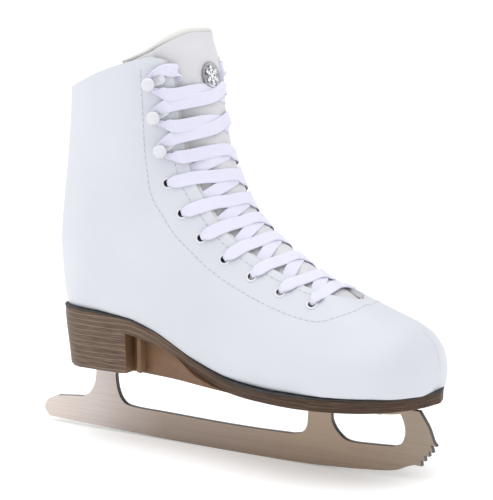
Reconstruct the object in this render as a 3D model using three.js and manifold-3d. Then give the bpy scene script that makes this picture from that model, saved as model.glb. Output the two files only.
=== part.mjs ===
// A figure-skating boot with its blade, in millimetres.
// +X points to the toe, +Y to the wearer's left, +Z up; z = 0 is the lowest part of the blade.
import * as THREE from 'three';
import { mergeVertices } from 'three/addons/utils/BufferGeometryUtils.js';
import Module from 'manifold-3d';

const wasm = await Module();
wasm.setup();

// ---------------------------------------------------------------- driving dimensions

// The boot is a fan of cross-sections. Each runs from the sole or the heel (base) to the top of the
// foot or the shin (crown): base x, base z, crown x, crown z, then the half width at six heights.
const STATIONS = [
  [148.6, 66, 148.6, 72, 2, 2.4, 3, 2.8, 2, 1.2],
  [146.6, 58.6, 146.6, 82, 11, 14, 15.5, 14.5, 10.5, 6],
  [142, 57.4, 142, 90, 21, 25, 27, 25, 18, 10],
  [133, 56.8, 133, 97.5, 31, 36, 38, 34.5, 24.5, 14],
  [117, 56.6, 117, 104.2, 38, 43.5, 44.5, 40.5, 28.5, 16.5],
  [95, 56.9, 95, 113, 43, 47, 47.5, 41.5, 29, 17],
  [71, 57.6, 71, 123, 42, 46, 46, 39, 27, 16],
  [46, 58, 51, 134, 38, 43, 43.5, 37.5, 26, 15.5],
  [21, 60, 32, 146.5, 33, 38.5, 40, 35.5, 25.5, 16],
  [-8, 67, 17, 160, 28.5, 34.5, 37.5, 34.5, 26.5, 17],
  [-42, 80.8, 8, 174, 28, 33, 36, 34.5, 27.5, 18],
  [-78, 90.8, 2, 187, 28.5, 33.5, 36, 35, 28.5, 19],
  [-107, 93, -2, 198, 24, 31, 36, 36, 29.5, 20],
  [-122.5, 94.5, -4.5, 208, 12, 23, 35, 37, 31, 21],
  [-129, 109, -6.5, 217, 7, 18, 33, 37, 32, 22],
  [-130.3, 134, -8.5, 226, 6, 18, 32, 37, 33, 23],
  [-126, 162, -10.5, 235, 7, 19, 32, 37.5, 34, 24],
  [-121.3, 190, -12.5, 243.5, 8, 20, 33, 38, 35, 25],
  [-118, 214, -14, 250.5, 8.5, 21, 34, 39, 36, 26],
  [-115.8, 235, -15.5, 256.5, 9, 22, 35, 40, 37, 27],
  [-115, 236, -17, 263.5, 9, 22, 35, 40, 37, 27],
  [-114.3, 236.5, -18.5, 270.5, 9, 22, 35, 40, 37, 27],
  [-113.6, 237, -20, 277.5, 9, 22, 35, 40, 37, 27],
];
const WIDTH_HEIGHTS = [0, 0.08, 0.3, 0.55, 0.8, 0.94];
const COLLAR = 19;
const CROWN = 9;
// The collar's sides stand this much above a straight line from the heel to the shin.
const COLLAR_RISE = 5.7;
const RISE_START = 16.5;
// The crown between the facings lies this far towards the wearer's left, and less far at the collar.
const CROWN_SHIFT = 4.5;
const CROWN_SHIFT_TOP = 2;
// Sections in front of this one move back with depth, so that inner layers clear the toe's tip.
const TOE_STATION = 4;

// The toe swings towards the wearer's left: where the swing starts, and how far it goes.
const SWING_START = 20;
const SWING_LENGTH = 130;
const SWING_TOE = 9;
const SWING_BALL = 3.5;

// Depths below the outer skin of the boot.
const SKIN_THICK = 2.2;
const PADDING_TOP = 2.5;
const PADDING_BOTTOM = 3.7;
const LINING_TOP = 4;
const LINING_BOTTOM = 5.3;
const LACE_UNDER = 7;
// The lace runs round a hook's post this far from its middle and this high above the skin.
const HOOK_LOOP = 4.25;
const HOOK_LOOP_HEIGHT = 2.95;
const TONGUE_SIDE = 8.9;
const TONGUE_CENTRE = 1.8;
const TONGUE_THICK = 3.2;
const GAP = 0.3;
// The padding and the lining stop this far from the throat, behind the eyelets.
const FACING_WIDTH = 13;

// Throat: half width of the gap between the facings, as [station, half width].
const THROAT = [
  [4.8, 0.5], [4.87, 6], [5.05, 10.5], [5.4, 14.5], [6, 17.5], [7, 19.5], [8.4, 21.3], [9.6, 23],
  [11, 23.8], [12.2, 24], [13.5, 24.8], [14.7, 26.2], [16, 27.4], [17.2, 27.9], [18.2, 30.5],
  [19, 34], [22, 34],
];

// Hooks and eyelets: station and place around the section.
const HOOKS = [[17.6, 6], [15.95, 6.05], [14.15, 6.1]];
const EYELETS = [
  [12.3, 5.95], [10.75, 5.75], [9.7, 5.7], [8.7, 5.75], [7.7, 5.85], [6.7, 5.95], [5.7, 6.2],
];
const EYELET_HOLE = 2.4;
const EYELET_BARREL = 3;
const EYELET_FLANGE = 4.1;
const BARREL_CLEARANCE = 0.9;

// Lace.
const LACE_RADIUS = 0.9;
const LACE_SIDES = 5;
const LACE_LIFT = 2.8;

// Sole: outline as [x, half width], the height of the boot's lower edge at the heel and at the toe,
// and the underside of the arch as [x, z].
const OUTLINE = [
  [-124.6, 4], [-122.5, 13], [-117, 21], [-108, 27.5], [-95, 31], [-75, 31.5],
  [-55, 29.5], [-30, 27.5], [-5, 29.5], [20, 36.5], [45, 44], [70, 47.8],
  [90, 47], [110, 42.5], [125, 35.5], [137, 26.5], [145, 15], [148.6, 4],
];
const HEEL_EDGE = 93;
const TOE_EDGE = 58.2;
const ARCH = [[-60.8, 76.3], [-50, 74], [-32, 69], [-16, 61], [-6, 55.6], [5, 52], [15, 50], [31, 48.7]];
const HEEL_BOTTOM = 49.5;
const BALL_BOTTOM = 48.7;
const TOE_BOTTOM = [[108, 48.2], [128, 48.8], [143, 50.2], [152, 51.8]];
const HEEL_FRONT = -60.8;
const WELT_THICK = 1.5;
const WEB = [[-62, 19], [-28, 24], [-2, 31], [15, 35.5], [29, 38]];
const RIB_X = -52.5;
const RIB_THICK = 3.5;
const RIB_Y = 26.5;

// Blade and its plates.
const BLADE_THICK = 3.8;
const PLATE_THICK = 2;
const REAR_PLATE = { front: -68, rear: -118, half: 22, top: HEEL_BOTTOM - GAP };
const FRONT_PLATE = { front: 138, rear: 52, half: 30, top: 47.8 };
const SCREW_HEAD = 3.6;
const SCREW_HEAD_HEIGHT = 1.4;
const SCREW_SHANK = 1.7;
const SCREW_LENGTH = 6;
const SCREW_CLEARANCE = 0.35;
const REAR_SCREWS = [[-110, 14], [-110, -14], [-76, 14], [-76, -14]];
const FRONT_SCREWS = [[60, 22], [60, -22], [92, 22], [92, -22], [120, 15], [120, -15]];

// Tongue flap: the free top of the tongue folds forward about this line.
const HINGE_X = -16.5;
const HINGE_Z = 259.5;
const FLAP_GAP = 0.6;

// ---------------------------------------------------------------- materials

function look(color, roughness, metalness = 0) {
  return new THREE.MeshStandardMaterial({ color, roughness, metalness });
}
const LEATHER = look(0xeeeff4, 0.45);
const TRIM = look(0xd9d8d2, 0.6);
const LINING = look(0xe6e3dc, 0.9);
const PADDING = look(0xd8cfae, 0.95);
const BOARD = look(0xa98f6c, 0.9);
const SOLE = look(0x6e5c4e, 0.6);
const WELT = look(0x33302f, 0.7);
const STEEL = look(0xa9a49e, 0.35, 1);
const ENAMEL = look(0xf2f3f6, 0.3, 0.1);
const LACING = look(0xeeeefa, 0.9);
const SILVER = look(0xb8bac0, 0.3, 1);

// ---------------------------------------------------------------- solids

function solid(geometry) {
  const bare = geometry.index ? geometry.clone() : geometry;
  bare.deleteAttribute('normal');
  bare.deleteAttribute('uv');
  const merged = mergeVertices(bare, 1e-4);
  return new wasm.Manifold(new wasm.Mesh({
    numProp: 3,
    vertProperties: new Float32Array(merged.attributes.position.array),
    triVerts: new Uint32Array(merged.index.array),
  }));
}

function geometryOf(manifold) {
  const mesh = manifold.getMesh();
  const geometry = new THREE.BufferGeometry();
  geometry.setAttribute('position', new THREE.BufferAttribute(new Float32Array(mesh.vertProperties), 3));
  geometry.setIndex(new THREE.BufferAttribute(new Uint32Array(mesh.triVerts), 1));
  return geometry;
}

function meshFrom(points, faces) {
  const geometry = new THREE.BufferGeometry();
  const numbers = points.flatMap((p) => p.toArray());
  geometry.setAttribute('position', new THREE.Float32BufferAttribute(numbers, 3));
  geometry.setIndex(faces.flat());
  return geometry;
}

// Uniform Catmull-Rom curve through a list of number rows.
function curveAt(rows, t) {
  const last = rows.length - 1;
  const i = Math.min(Math.max(Math.floor(t), 0), last - 1);
  const f = t - i;
  const row = (k) => {
    if (k < 0) return rows[0].map((value, c) => 2 * value - rows[1][c]);
    if (k > last) return rows[last].map((value, c) => 2 * value - rows[last - 1][c]);
    return rows[k];
  };
  const [a, b, c, d] = [row(i - 1), row(i), row(i + 1), row(i + 2)];
  return b.map((value, k) => 0.5 * (2 * value + (c[k] - a[k]) * f
    + (2 * a[k] - 5 * value + 4 * c[k] - d[k]) * f * f + (3 * value - a[k] - 3 * c[k] + d[k]) * f ** 3));
}

const smoothstep = (low, high, x) => THREE.MathUtils.smoothstep(x, low, high);

// ---------------------------------------------------------------- the boot's surface

// Sideways shift of the boot's middle line at x.
function swing(x) {
  const t = Math.min(Math.max((x - SWING_START) / SWING_LENGTH, 0), 1);
  return SWING_TOE * t ** 3 - SWING_BALL * Math.sin(Math.PI * t) * t;
}

// A point of the boot: station along the boot, u around the section (2 is the edge of the sole,
// 9 the crown), side -1 or 1, and depth below the outer skin.
function bootPoint(station, u, side, depth = 0) {
  const [baseX, baseZ, crownX, crownZ, ...widths] = curveAt(STATIONS, station);
  const heights = WIDTH_HEIGHTS.map((v, k) => [v, widths[k]]);
  const ring = [[0, 0], [0, 0.55 * widths[0]], ...heights, [1, 0.45 * widths[5]], [1, 0]];
  const [rawV, rawW] = curveAt(ring, u);
  const inset = depth / Math.hypot(crownX - baseX, crownZ - baseZ);
  const v = inset + Math.min(Math.max(rawV, 0), 1) * (1 - 2 * inset);
  const w = rawW * Math.max(0.25, 1 - depth / Math.max(...widths));
  const toeInset = depth * Math.min(Math.max((TOE_STATION - station) / (TOE_STATION - 1), 0), 1);
  const x = baseX + (crownX - baseX) * v - toeInset;
  const rise = COLLAR_RISE * smoothstep(-0.05, 0.68, v) * smoothstep(RISE_START, COLLAR, station);
  const shift = CROWN_SHIFT + (CROWN_SHIFT_TOP - CROWN_SHIFT) * smoothstep(16, 19, station);
  const lean = shift * smoothstep(0.86, 1, v) * smoothstep(4.5, 9, station);
  return new THREE.Vector3(x, side * w + swing(x) + lean, baseZ + (crownZ - baseZ) * v + rise);
}

function bootNormal(station, u, side) {
  const step = 0.05;
  const along = bootPoint(station + step, u, side).sub(bootPoint(station - step, u, side));
  const around = bootPoint(station, u + step, side).sub(bootPoint(station, u - step, side));
  return along.cross(around).multiplyScalar(side).normalize();
}

// Closed solid inside the boot's skin at a depth, up to a station.
const AROUND = [0, 1, 2, 3, 4, 5, 6, 7, 8, 9];
function bootBody(depth, end) {
  const stations = [];
  for (let k = 0; k < end; k += 1) stations.push(k);
  stations.push(end);
  const rings = stations.map((station) => [
    ...AROUND.map((u) => bootPoint(station, u, -1, depth)),
    ...AROUND.slice(1, -1).reverse().map((u) => bootPoint(station, u, 1, depth)),
  ]);
  return solid(loft(rings));
}

// Rings of equal length joined into a closed body, with a fan over each end.
function loft(rings) {
  const count = rings[0].length;
  const points = rings.flat();
  const faces = [];
  for (let i = 0; i < rings.length - 1; i += 1) {
    for (let j = 0; j < count; j += 1) {
      const [a, b] = [i * count + j, i * count + (j + 1) % count];
      faces.push([a, b, b + count], [a, b + count, a + count]);
    }
  }
  const centre = (ring) => ring.reduce((sum, p) => sum.add(p), new THREE.Vector3()).divideScalar(count);
  const last = (rings.length - 1) * count;
  points.push(centre(rings[0]), centre(rings[rings.length - 1]));
  for (let j = 0; j < count; j += 1) {
    const next = (j + 1) % count;
    faces.push([next, j, points.length - 2], [last + j, last + next, points.length - 1]);
  }
  return outward(meshFrom(points, faces));
}

// Turns the faces over when the body's volume comes out negative.
function outward(geometry) {
  const p = geometry.attributes.position;
  const index = geometry.index.array;
  const at = (k) => new THREE.Vector3().fromBufferAttribute(p, index[k]);
  let volume = 0;
  for (let k = 0; k < index.length; k += 3) volume += at(k).dot(at(k + 1).cross(at(k + 2)));
  if (volume > 0) return geometry;
  const turned = [];
  for (let k = 0; k < index.length; k += 3) turned.push(index[k], index[k + 2], index[k + 1]);
  geometry.setIndex(turned);
  return geometry;
}

// Closed sheet between two equal grids of points.
function sheet(outer, inner) {
  const [rows, columns] = [outer.length, outer[0].length];
  const points = [...outer.flat(), ...inner.flat()];
  const under = rows * columns;
  const at = (i, j) => i * columns + j;
  const faces = [];
  const quad = (a, b, c, d) => faces.push([a, b, c], [a, c, d]);
  for (let i = 0; i < rows - 1; i += 1) {
    for (let j = 0; j < columns - 1; j += 1) {
      quad(at(i, j), at(i, j + 1), at(i + 1, j + 1), at(i + 1, j));
      quad(under + at(i, j), under + at(i + 1, j), under + at(i + 1, j + 1), under + at(i, j + 1));
    }
  }
  for (let i = 0; i < rows - 1; i += 1) {
    quad(at(i, 0), at(i + 1, 0), under + at(i + 1, 0), under + at(i, 0));
    const j = columns - 1;
    quad(at(i + 1, j), at(i, j), under + at(i, j), under + at(i + 1, j));
  }
  for (let j = 0; j < columns - 1; j += 1) {
    quad(at(0, j + 1), at(0, j), under + at(0, j), under + at(0, j + 1));
    const i = rows - 1;
    quad(at(i, j), at(i, j + 1), under + at(i, j + 1), under + at(i, j));
  }
  return outward(meshFrom(points, faces));
}

// ---------------------------------------------------------------- cutting tools

function boxSolid(x0, x1, y0, y1, z0, z1) {
  const box = new THREE.BoxGeometry(x1 - x0, y1 - y0, z1 - z0);
  box.translate((x0 + x1) / 2, (y0 + y1) / 2, (z0 + z1) / 2);
  return solid(box);
}

// Flat outline in x and z, extruded across the boot.
function crossways(points, halfWidth = 70) {
  const shape = new THREE.Shape(points.map(([x, z]) => new THREE.Vector2(x, z)));
  const slab = new THREE.ExtrudeGeometry(shape, { depth: 2 * halfWidth, bevelEnabled: false });
  slab.rotateX(Math.PI / 2);
  slab.translate(0, halfWidth, 0);
  return slab;
}

// Upright prism of an outline given as [x, half width], following the toe's swing.
function prism(outline, z0, z1, steps = 2) {
  const side = [];
  for (let k = 0; k < outline.length - 1; k += 1) {
    for (let f = 0; f < steps; f += 1) side.push(curveAt(outline, k + f / steps));
  }
  side.push(outline[outline.length - 1]);
  const right = side.map(([x, w]) => new THREE.Vector2(x, -w + swing(x)));
  const left = side.map(([x, w]) => new THREE.Vector2(x, w + swing(x))).reverse();
  const shape = new THREE.Shape([...right, ...left]);
  const body = new THREE.ExtrudeGeometry(shape, { depth: z1 - z0, bevelEnabled: false });
  body.translate(0, 0, z0);
  return body;
}

// The gap between the facings.
function throatCutter(extra) {
  const rings = [];
  for (const [station, half] of THROAT) {
    const [baseX, baseZ, crownX, crownZ] = curveAt(STATIONS, station);
    const corner = (v, side) => {
      const x = baseX + (crownX - baseX) * v;
      return new THREE.Vector3(x, side * (half + extra) + swing(x), baseZ + (crownZ - baseZ) * v);
    };
    rings.push([corner(0.66, -1), corner(0.66, 1), corner(1.3, 1), corner(1.3, -1)]);
  }
  return solid(loft(rings));
}

// Round hole or shank through the skin at a point of the boot.
function pinAt(station, u, side, radius, low, high) {
  const cylinder = new THREE.CylinderGeometry(radius, radius, high - low, 6);
  cylinder.translate(0, (low + high) / 2, 0);
  placeOnSkin(cylinder, station, u, side);
  return solid(cylinder);
}

// Turn that stands a piece made along +Y on the skin.
function skinTurn(station, u, side) {
  const up = new THREE.Vector3(0, 1, 0);
  return new THREE.Quaternion().setFromUnitVectors(up, bootNormal(station, u, side));
}

function placeOnSkin(geometry, station, u, side) {
  geometry.applyQuaternion(skinTurn(station, u, side));
  geometry.translate(...bootPoint(station, u, side).toArray());
  return geometry;
}

// ---------------------------------------------------------------- boot layers

const throat = throatCutter(0);
const facings = throatCutter(FACING_WIDTH);
const eyeletHoles = [-1, 1].flatMap((side) => EYELETS.map(([station, u]) => (
  pinAt(station, u, side, EYELET_BARREL + BARREL_CLEARANCE, -7.5, 3))));

const openAtTop = 0.6;
const afterHoles = (body) => eyeletHoles.reduce((rest, hole) => rest.subtract(hole), body);

function upperShell() {
  const wall = bootBody(0, COLLAR).subtract(bootBody(SKIN_THICK, COLLAR + openAtTop));
  return geometryOf(afterHoles(wall.subtract(throat)));
}

// Layer between two depths, above the insole.
function innerLayer(top, bottom, end) {
  const wall = bootBody(top, end).subtract(bootBody(bottom, end + openAtTop));
  return wall.subtract(facings).subtract(belowInsole);
}

// Slab that follows the sole line between two heights above it.
function soleSlab(low, high, rear = -140, front = 156) {
  const line = STATIONS.slice(1, 14).map(([x, z]) => [x, z]).reverse();
  line[0] = [rear, HEEL_EDGE];
  line.push([front, TOE_EDGE]);
  const top = line.map(([x, z]) => [x, z + high]);
  const bottom = line.map(([x, z]) => [x, z + low]).reverse();
  return [...bottom, ...top];
}

const INSOLE_LOW = SKIN_THICK + GAP;
const INSOLE_HIGH = INSOLE_LOW + 2.4;
const FOOTBED_LOW = INSOLE_HIGH + GAP;
const FOOTBED_HIGH = FOOTBED_LOW + 3;
const belowInsole = solid(crossways(soleSlab(-30, INSOLE_HIGH + GAP)));

function insoleBoard() {
  const slab = solid(crossways(soleSlab(INSOLE_LOW, INSOLE_HIGH)));
  return geometryOf(bootBody(PADDING_TOP + GAP, 13).intersect(slab));
}

function footbed() {
  const slab = solid(crossways(soleSlab(FOOTBED_LOW, FOOTBED_HIGH)));
  return geometryOf(bootBody(LINING_BOTTOM + GAP, 14.5).intersect(slab));
}

const PUFF_BACK = 112;
const COUNTER_FRONT = -38;
const COUNTER_TOP = 138;
function middleLayers() {
  const all = innerLayer(PADDING_TOP, PADDING_BOTTOM, COLLAR - 0.25);
  const toe = boxSolid(PUFF_BACK, 160, -70, 70, 40, 140);
  const heel = boxSolid(-150, COUNTER_FRONT, -70, 70, 40, COUNTER_TOP);
  const grown = boxSolid(PUFF_BACK - GAP, 160, -71, 71, 39, 141);
  const heelGrown = boxSolid(-151, COUNTER_FRONT + GAP, -71, 71, 39, COUNTER_TOP + GAP);
  return {
    puff: geometryOf(all.intersect(toe)),
    counter: geometryOf(all.intersect(heel)),
    padding: geometryOf(all.subtract(grown).subtract(heelGrown)),
  };
}

function lining() {
  return geometryOf(innerLayer(LINING_TOP, LINING_BOTTOM, COLLAR - 0.25));
}

// ---------------------------------------------------------------- tongue

const TONGUE_U = [5.7, 6.4, 7.1, 7.7, 8.3, 9];
function tongueDepth(station, u) {
  const crowned = smoothstep(7.4, 8.8, u) * smoothstep(4.9, 6.2, station);
  return TONGUE_SIDE - (TONGUE_SIDE - TONGUE_CENTRE) * crowned;
}

function tongueRow(station, edgeU, extra) {
  const at = (u, side) => bootPoint(station, u, side, tongueDepth(station, u) + extra);
  const us = TONGUE_U.map((u) => CROWN - (CROWN - u) * (CROWN - edgeU) / (CROWN - TONGUE_U[0]));
  return [...us.map((u) => at(u, -1)), ...us.slice(0, -1).reverse().map((u) => at(u, 1))];
}

// Where the tongue's two ends are, and how far round it reaches.
const TONGUE_START = 4.5;
const TONGUE_END = 21.1;
const tongueEdge = (station) => 6.35 - 0.9 * smoothstep(5, 9, station) - 0.55 * smoothstep(15, 21, station);

function tongueBody() {
  const stations = [TONGUE_START, 4.9, 5.4];
  for (let k = 6; k <= 21; k += 1) stations.push(k);
  stations.push(TONGUE_END);
  const grid = (extra) => stations.map((s) => tongueRow(s, tongueEdge(s), extra));
  return solid(sheet(grid(0), grid(TONGUE_THICK)));
}

// Lower tongue and its free flap, parted along a slanted plane through the hinge.
const FLAP_SLANT = 0.03;
function halfSpace(z, above) {
  const reach = above ? 200 : -200;
  const [low, high] = [-200, 200].map((x) => z + FLAP_SLANT * (x - HINGE_X));
  return solid(crossways([[-200, low], [200, high], [200, high + reach], [-200, low + reach]]));
}

function tongueParts() {
  const whole = tongueBody();
  return {
    lower: geometryOf(whole.subtract(halfSpace(HINGE_Z - FLAP_GAP / 2, true))),
    flap: geometryOf(whole.subtract(halfSpace(HINGE_Z + FLAP_GAP / 2, false))),
  };
}

// Rolled collar that caps the boot's mouth from one facing round the heel to the other.
const ROLL_RADIUS = 2.6;
function collarRoll() {
  const us = [6.1, 5.5, 4.8, 4, 3, 2.3, 1.2];
  const at = (u, side) => bootPoint(COLLAR + 0.12, u, side, 6.1);
  const points = [...us.map((u) => at(u, -1)), at(0, 1), ...us.reverse().map((u) => at(u, 1))];
  return sweep(new THREE.CatmullRomCurve3(points).getSpacedPoints(28), ROLL_RADIUS, 8);
}

// Badge on the tongue: a plain oval plate.
const BADGE = { station: 17.2, half: 6.2, height: 9.6, thick: 1.3, lean: THREE.MathUtils.degToRad(12.5) };
function badge() {
  const shape = new THREE.Shape();
  shape.absellipse(0, 0, BADGE.half, BADGE.height, 0, 2 * Math.PI);
  const options = { depth: BADGE.thick, bevelEnabled: false, curveSegments: 12 };
  const plate = new THREE.ExtrudeGeometry(shape, options);
  plate.rotateZ(Math.PI / 2);
  plate.rotateY(Math.PI / 2 - BADGE.lean);
  return plate;
}

// ---------------------------------------------------------------- lace and hardware

// Round tube through a list of points, closed at both ends; its section is carried along unturned.
function sweep(points, radius, sides) {
  const ahead = points.map((p, k) => points[Math.min(k + 1, points.length - 1)].clone()
    .sub(points[Math.max(k - 1, 0)]).normalize());
  let across = new THREE.Vector3(0, 0, 1).cross(ahead[0]).normalize();
  const rings = points.map((point, k) => {
    across = across.clone().projectOnPlane(ahead[k]).normalize();
    const over = new THREE.Vector3().crossVectors(ahead[k], across);
    return Array.from({ length: sides }, (_, j) => {
      const angle = (2 * Math.PI * j) / sides;
      return point.clone().addScaledVector(across, radius * Math.cos(angle))
        .addScaledVector(over, radius * Math.sin(angle));
    });
  });
  return loft(rings);
}

// One half of the lace, from the middle of the lowest bar to its tucked end. It crosses the tongue
// over the facings, drops through each eyelet, comes back out of the throat and goes round each hook.
function laceHalf(startSide) {
  const points = [];
  const add = (station, u, side, depth) => points.push(bootPoint(station, u, side, depth));
  let side = startSide;
  const [first, firstU] = EYELETS[EYELETS.length - 1];
  add(first, 9, side, -LACE_LIFT);
  add(first, 8, side, -LACE_LIFT);
  add(first, firstU + 0.5, side, -LACE_LIFT);
  for (let k = EYELETS.length - 1; k >= 0; k -= 1) {
    const [station, u] = EYELETS[k];
    add(station, u, side, -LACE_LIFT - 0.5);
    add(station, u, side, -0.6);
    add(station, u, side, 5.2);
    add(station, u + 0.25, side, LACE_UNDER);
    const next = k > 0 ? EYELETS[k - 1] : HOOKS[2];
    const rise = (next[0] - station);
    add(station + 0.12 * rise, 6.95, side, LACE_UNDER - 0.3);
    add(station + 0.2 * rise, 7.35, side, 3);
    add(station + 0.3 * rise, 8, side, -0.6);
    add(station + 0.5 * rise, 9, side, -LACE_LIFT + 0.3);
    side = -side;
    add(station + 0.7 * rise, 8, side, -LACE_LIFT - 0.3);
    add(station + 0.85 * rise, 7, side, -LACE_LIFT - 0.3);
    if (k > 0) add(station + 0.97 * rise, next[1] + 0.35, side, -LACE_LIFT);
  }
  for (let k = HOOKS.length - 1; k >= 0; k -= 1) {
    const [station, u] = HOOKS[k];
    const hook = bootPoint(station, u, side);
    const normal = bootNormal(station, u, side);
    const forward = bootPoint(station, u + 0.3, side).sub(hook).projectOnPlane(normal).normalize();
    const upward = new THREE.Vector3().crossVectors(forward, normal).multiplyScalar(side);
    for (const angle of [-100, -150, 180, 150, 100]) {
      const a = THREE.MathUtils.degToRad(angle);
      points.push(hook.clone().addScaledVector(forward, HOOK_LOOP * Math.cos(a))
        .addScaledVector(upward, HOOK_LOOP * Math.sin(a)).addScaledVector(normal, HOOK_LOOP_HEIGHT));
    }
    if (k > 0) {
      const rise = HOOKS[k - 1][0] - station;
      add(station + 0.3 * rise, 7.4, side, -LACE_LIFT);
      add(station + 0.5 * rise, 9, side, -LACE_LIFT);
      side = -side;
      add(station + 0.75 * rise, 7.4, side, -LACE_LIFT - 0.3);
    }
  }
  add(HOOKS[0][0] + 0.15, 6.75, side, -1.8);
  add(HOOKS[0][0] + 0.1, 7.12, side, 3.2);
  add(HOOKS[0][0] - 0.2, 6.7, side, LACE_UNDER);
  add(HOOKS[0][0] - 1.2, 6.4, side, LACE_UNDER);
  return points;
}

function lace() {
  const [right, left] = [-1, 1].map((side) => solid(sweep(laceHalf(side), LACE_RADIUS, LACE_SIDES)));
  return geometryOf(right.add(left));
}

// Turned piece given as [radius, height] from the skin outwards.
function turned(profile, segments) {
  return new THREE.LatheGeometry(profile.map(([r, h]) => new THREE.Vector2(r, h)), segments);
}

function eyelet() {
  return turned([
    [EYELET_HOLE, -2.2], [EYELET_BARREL, -2.2], [EYELET_BARREL, 0.9], [EYELET_FLANGE, 0.9],
    [EYELET_FLANGE - 0.4, 1.5], [EYELET_HOLE, 1.5], [EYELET_HOLE, -2.2],
  ], 8);
}

function hook() {
  return turned([
    [0, 0.45], [4.4, 0.45], [4.2, 1.1], [1.7, 1.3], [1.6, 4],
    [3.6, 4.4], [4.4, 5.8], [3.6, 7.6], [1.8, 8.4], [0, 8.5],
  ], 8);
}

// ---------------------------------------------------------------- sole, blade, plates, screws

function screwHoles(radius, places, z0, z1) {
  return places.map(([x, y]) => {
    const hole = new THREE.CylinderGeometry(radius, radius, z1 - z0, 8);
    hole.rotateX(Math.PI / 2);
    hole.translate(x, y, (z0 + z1) / 2);
    return solid(hole);
  });
}

const WELT_TOP = -0.45;
const OUTSOLE_TOP = WELT_TOP - WELT_THICK - GAP;

function outsole() {
  const underside = [
    [-140, HEEL_BOTTOM], [HEEL_FRONT, HEEL_BOTTOM], ...ARCH, [60, BALL_BOTTOM - 0.2], ...TOE_BOTTOM,
    [160, 110], [-140, 110],
  ];
  const body = solid(prism(OUTLINE, 40, 105)).intersect(solid(crossways(underside)));
  const web = solid(prism(WEB, BALL_BOTTOM + 0.35, 90, 2));
  const rib = boxSolid(RIB_X - RIB_THICK / 2, RIB_X + RIB_THICK / 2, -RIB_Y, RIB_Y, HEEL_BOTTOM + 1, 90);
  let unit = body.add(web).add(rib).intersect(solid(crossways(soleSlab(-200, OUTSOLE_TOP))));
  for (const hole of [
    ...screwHoles(SCREW_SHANK + SCREW_CLEARANCE, REAR_SCREWS, 40, HEEL_BOTTOM + SCREW_LENGTH),
    ...screwHoles(SCREW_SHANK + SCREW_CLEARANCE, FRONT_SCREWS, 40, BALL_BOTTOM + SCREW_LENGTH - 1),
  ]) unit = unit.subtract(hole);
  return geometryOf(unit);
}

function welt() {
  const grown = OUTLINE.map(([x, w]) => [x * 1.003, w + 0.4]);
  const layer = solid(crossways(soleSlab(WELT_TOP - WELT_THICK, WELT_TOP)));
  return geometryOf(solid(prism(grown, 40, 105)).intersect(layer));
}

// Side view of the blade: tail, runner, toe pick, the three pillars and the two gaps between them.
function bladeShape() {
  const rearTop = REAR_PLATE.top - PLATE_THICK - GAP;
  const frontTop = FRONT_PLATE.top - PLATE_THICK - GAP;
  const v = (x, z) => new THREE.Vector2(x, z);
  const shape = new THREE.Shape();
  shape.moveTo(0, 0);
  shape.lineTo(42, 0);
  shape.splineThru([v(64, 0.6), v(87, 1.8), v(104, 3.2), v(117, 4.5), v(125.5, 6.2), v(132.5, 9.4)]);
  shape.lineTo(137.3, 11.1);
  shape.lineTo(142.5, 10.9);
  for (const [rootX, rootZ, tipX, tipZ] of [[141.8, 14.6, 144.8, 14.4], [144.3, 18, 147.6, 17.7],
    [147, 21, 150.1, 20.5], [148.6, 25, 152.4, 24.7]]) {
    shape.lineTo(rootX, rootZ);
    shape.lineTo(tipX, tipZ);
  }
  shape.lineTo(150, 27.8);
  shape.splineThru([v(146.7, 36), v(140.3, frontTop)]);
  shape.lineTo(125.5, frontTop);
  shape.splineThru([v(129.4, 38.3), v(130.9, 30.8), v(128.7, 23.6), v(123.5, 20.9)]);
  shape.splineThru([v(108, 19.9), v(91.7, 19.7), v(84, 24.1), v(79.6, 30.4), v(78.9, 36)]);
  shape.lineTo(80.5, frontTop);
  shape.lineTo(62.2, frontTop);
  shape.splineThru([v(62, 33), v(61, 24.8), v(57.2, 20.4), v(50.4, 18.6)]);
  shape.lineTo(23.8, 17.9);
  shape.splineThru([v(-6, 17.9), v(-48, 18.7), v(-75.7, 19.3), v(-84.3, 22.4), v(-88.5, 30), v(-90, 39.2)]);
  shape.lineTo(-88.5, rearTop);
  shape.lineTo(-106.5, rearTop);
  shape.lineTo(-106.7, 38.5);
  shape.splineThru([v(-108.3, 31.1), v(-112.8, 24.3), v(-118.5, 21.3)]);
  shape.lineTo(-141.1, 18.9);
  shape.splineThru([v(-149.4, 15), v(-152.6, 8.6), v(-148.3, 3)]);
  shape.splineThru([v(-113, 2), v(-70, 1.1), v(-25, 0.25), v(0, 0)]);
  return shape;
}

function blade() {
  const depth = BLADE_THICK;
  const body = new THREE.ExtrudeGeometry(bladeShape(), { depth, bevelEnabled: false, curveSegments: 3 });
  body.rotateX(Math.PI / 2);
  body.translate(0, depth / 2, 0);
  return body;
}

function plate({ front, rear, half, top }, screws) {
  const r = half * 0.6;
  const taper = 0.72;
  const shape = new THREE.Shape();
  shape.moveTo(rear + r, -half);
  shape.lineTo(front - r, -half * taper);
  shape.quadraticCurveTo(front, -half * taper, front, 0);
  shape.quadraticCurveTo(front, half * taper, front - r, half * taper);
  shape.lineTo(rear + r, half);
  shape.quadraticCurveTo(rear, half, rear, 0);
  shape.quadraticCurveTo(rear, -half, rear + r, -half);
  const options = { depth: PLATE_THICK, bevelEnabled: false, curveSegments: 6 };
  const body = new THREE.ExtrudeGeometry(shape, options);
  body.translate(0, 0, top - PLATE_THICK);
  let sheetMetal = solid(body);
  const holes = screwHoles(SCREW_SHANK + SCREW_CLEARANCE, screws, top - 10, top + 10);
  for (const hole of holes) sheetMetal = sheetMetal.subtract(hole);
  return geometryOf(sheetMetal);
}

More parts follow.
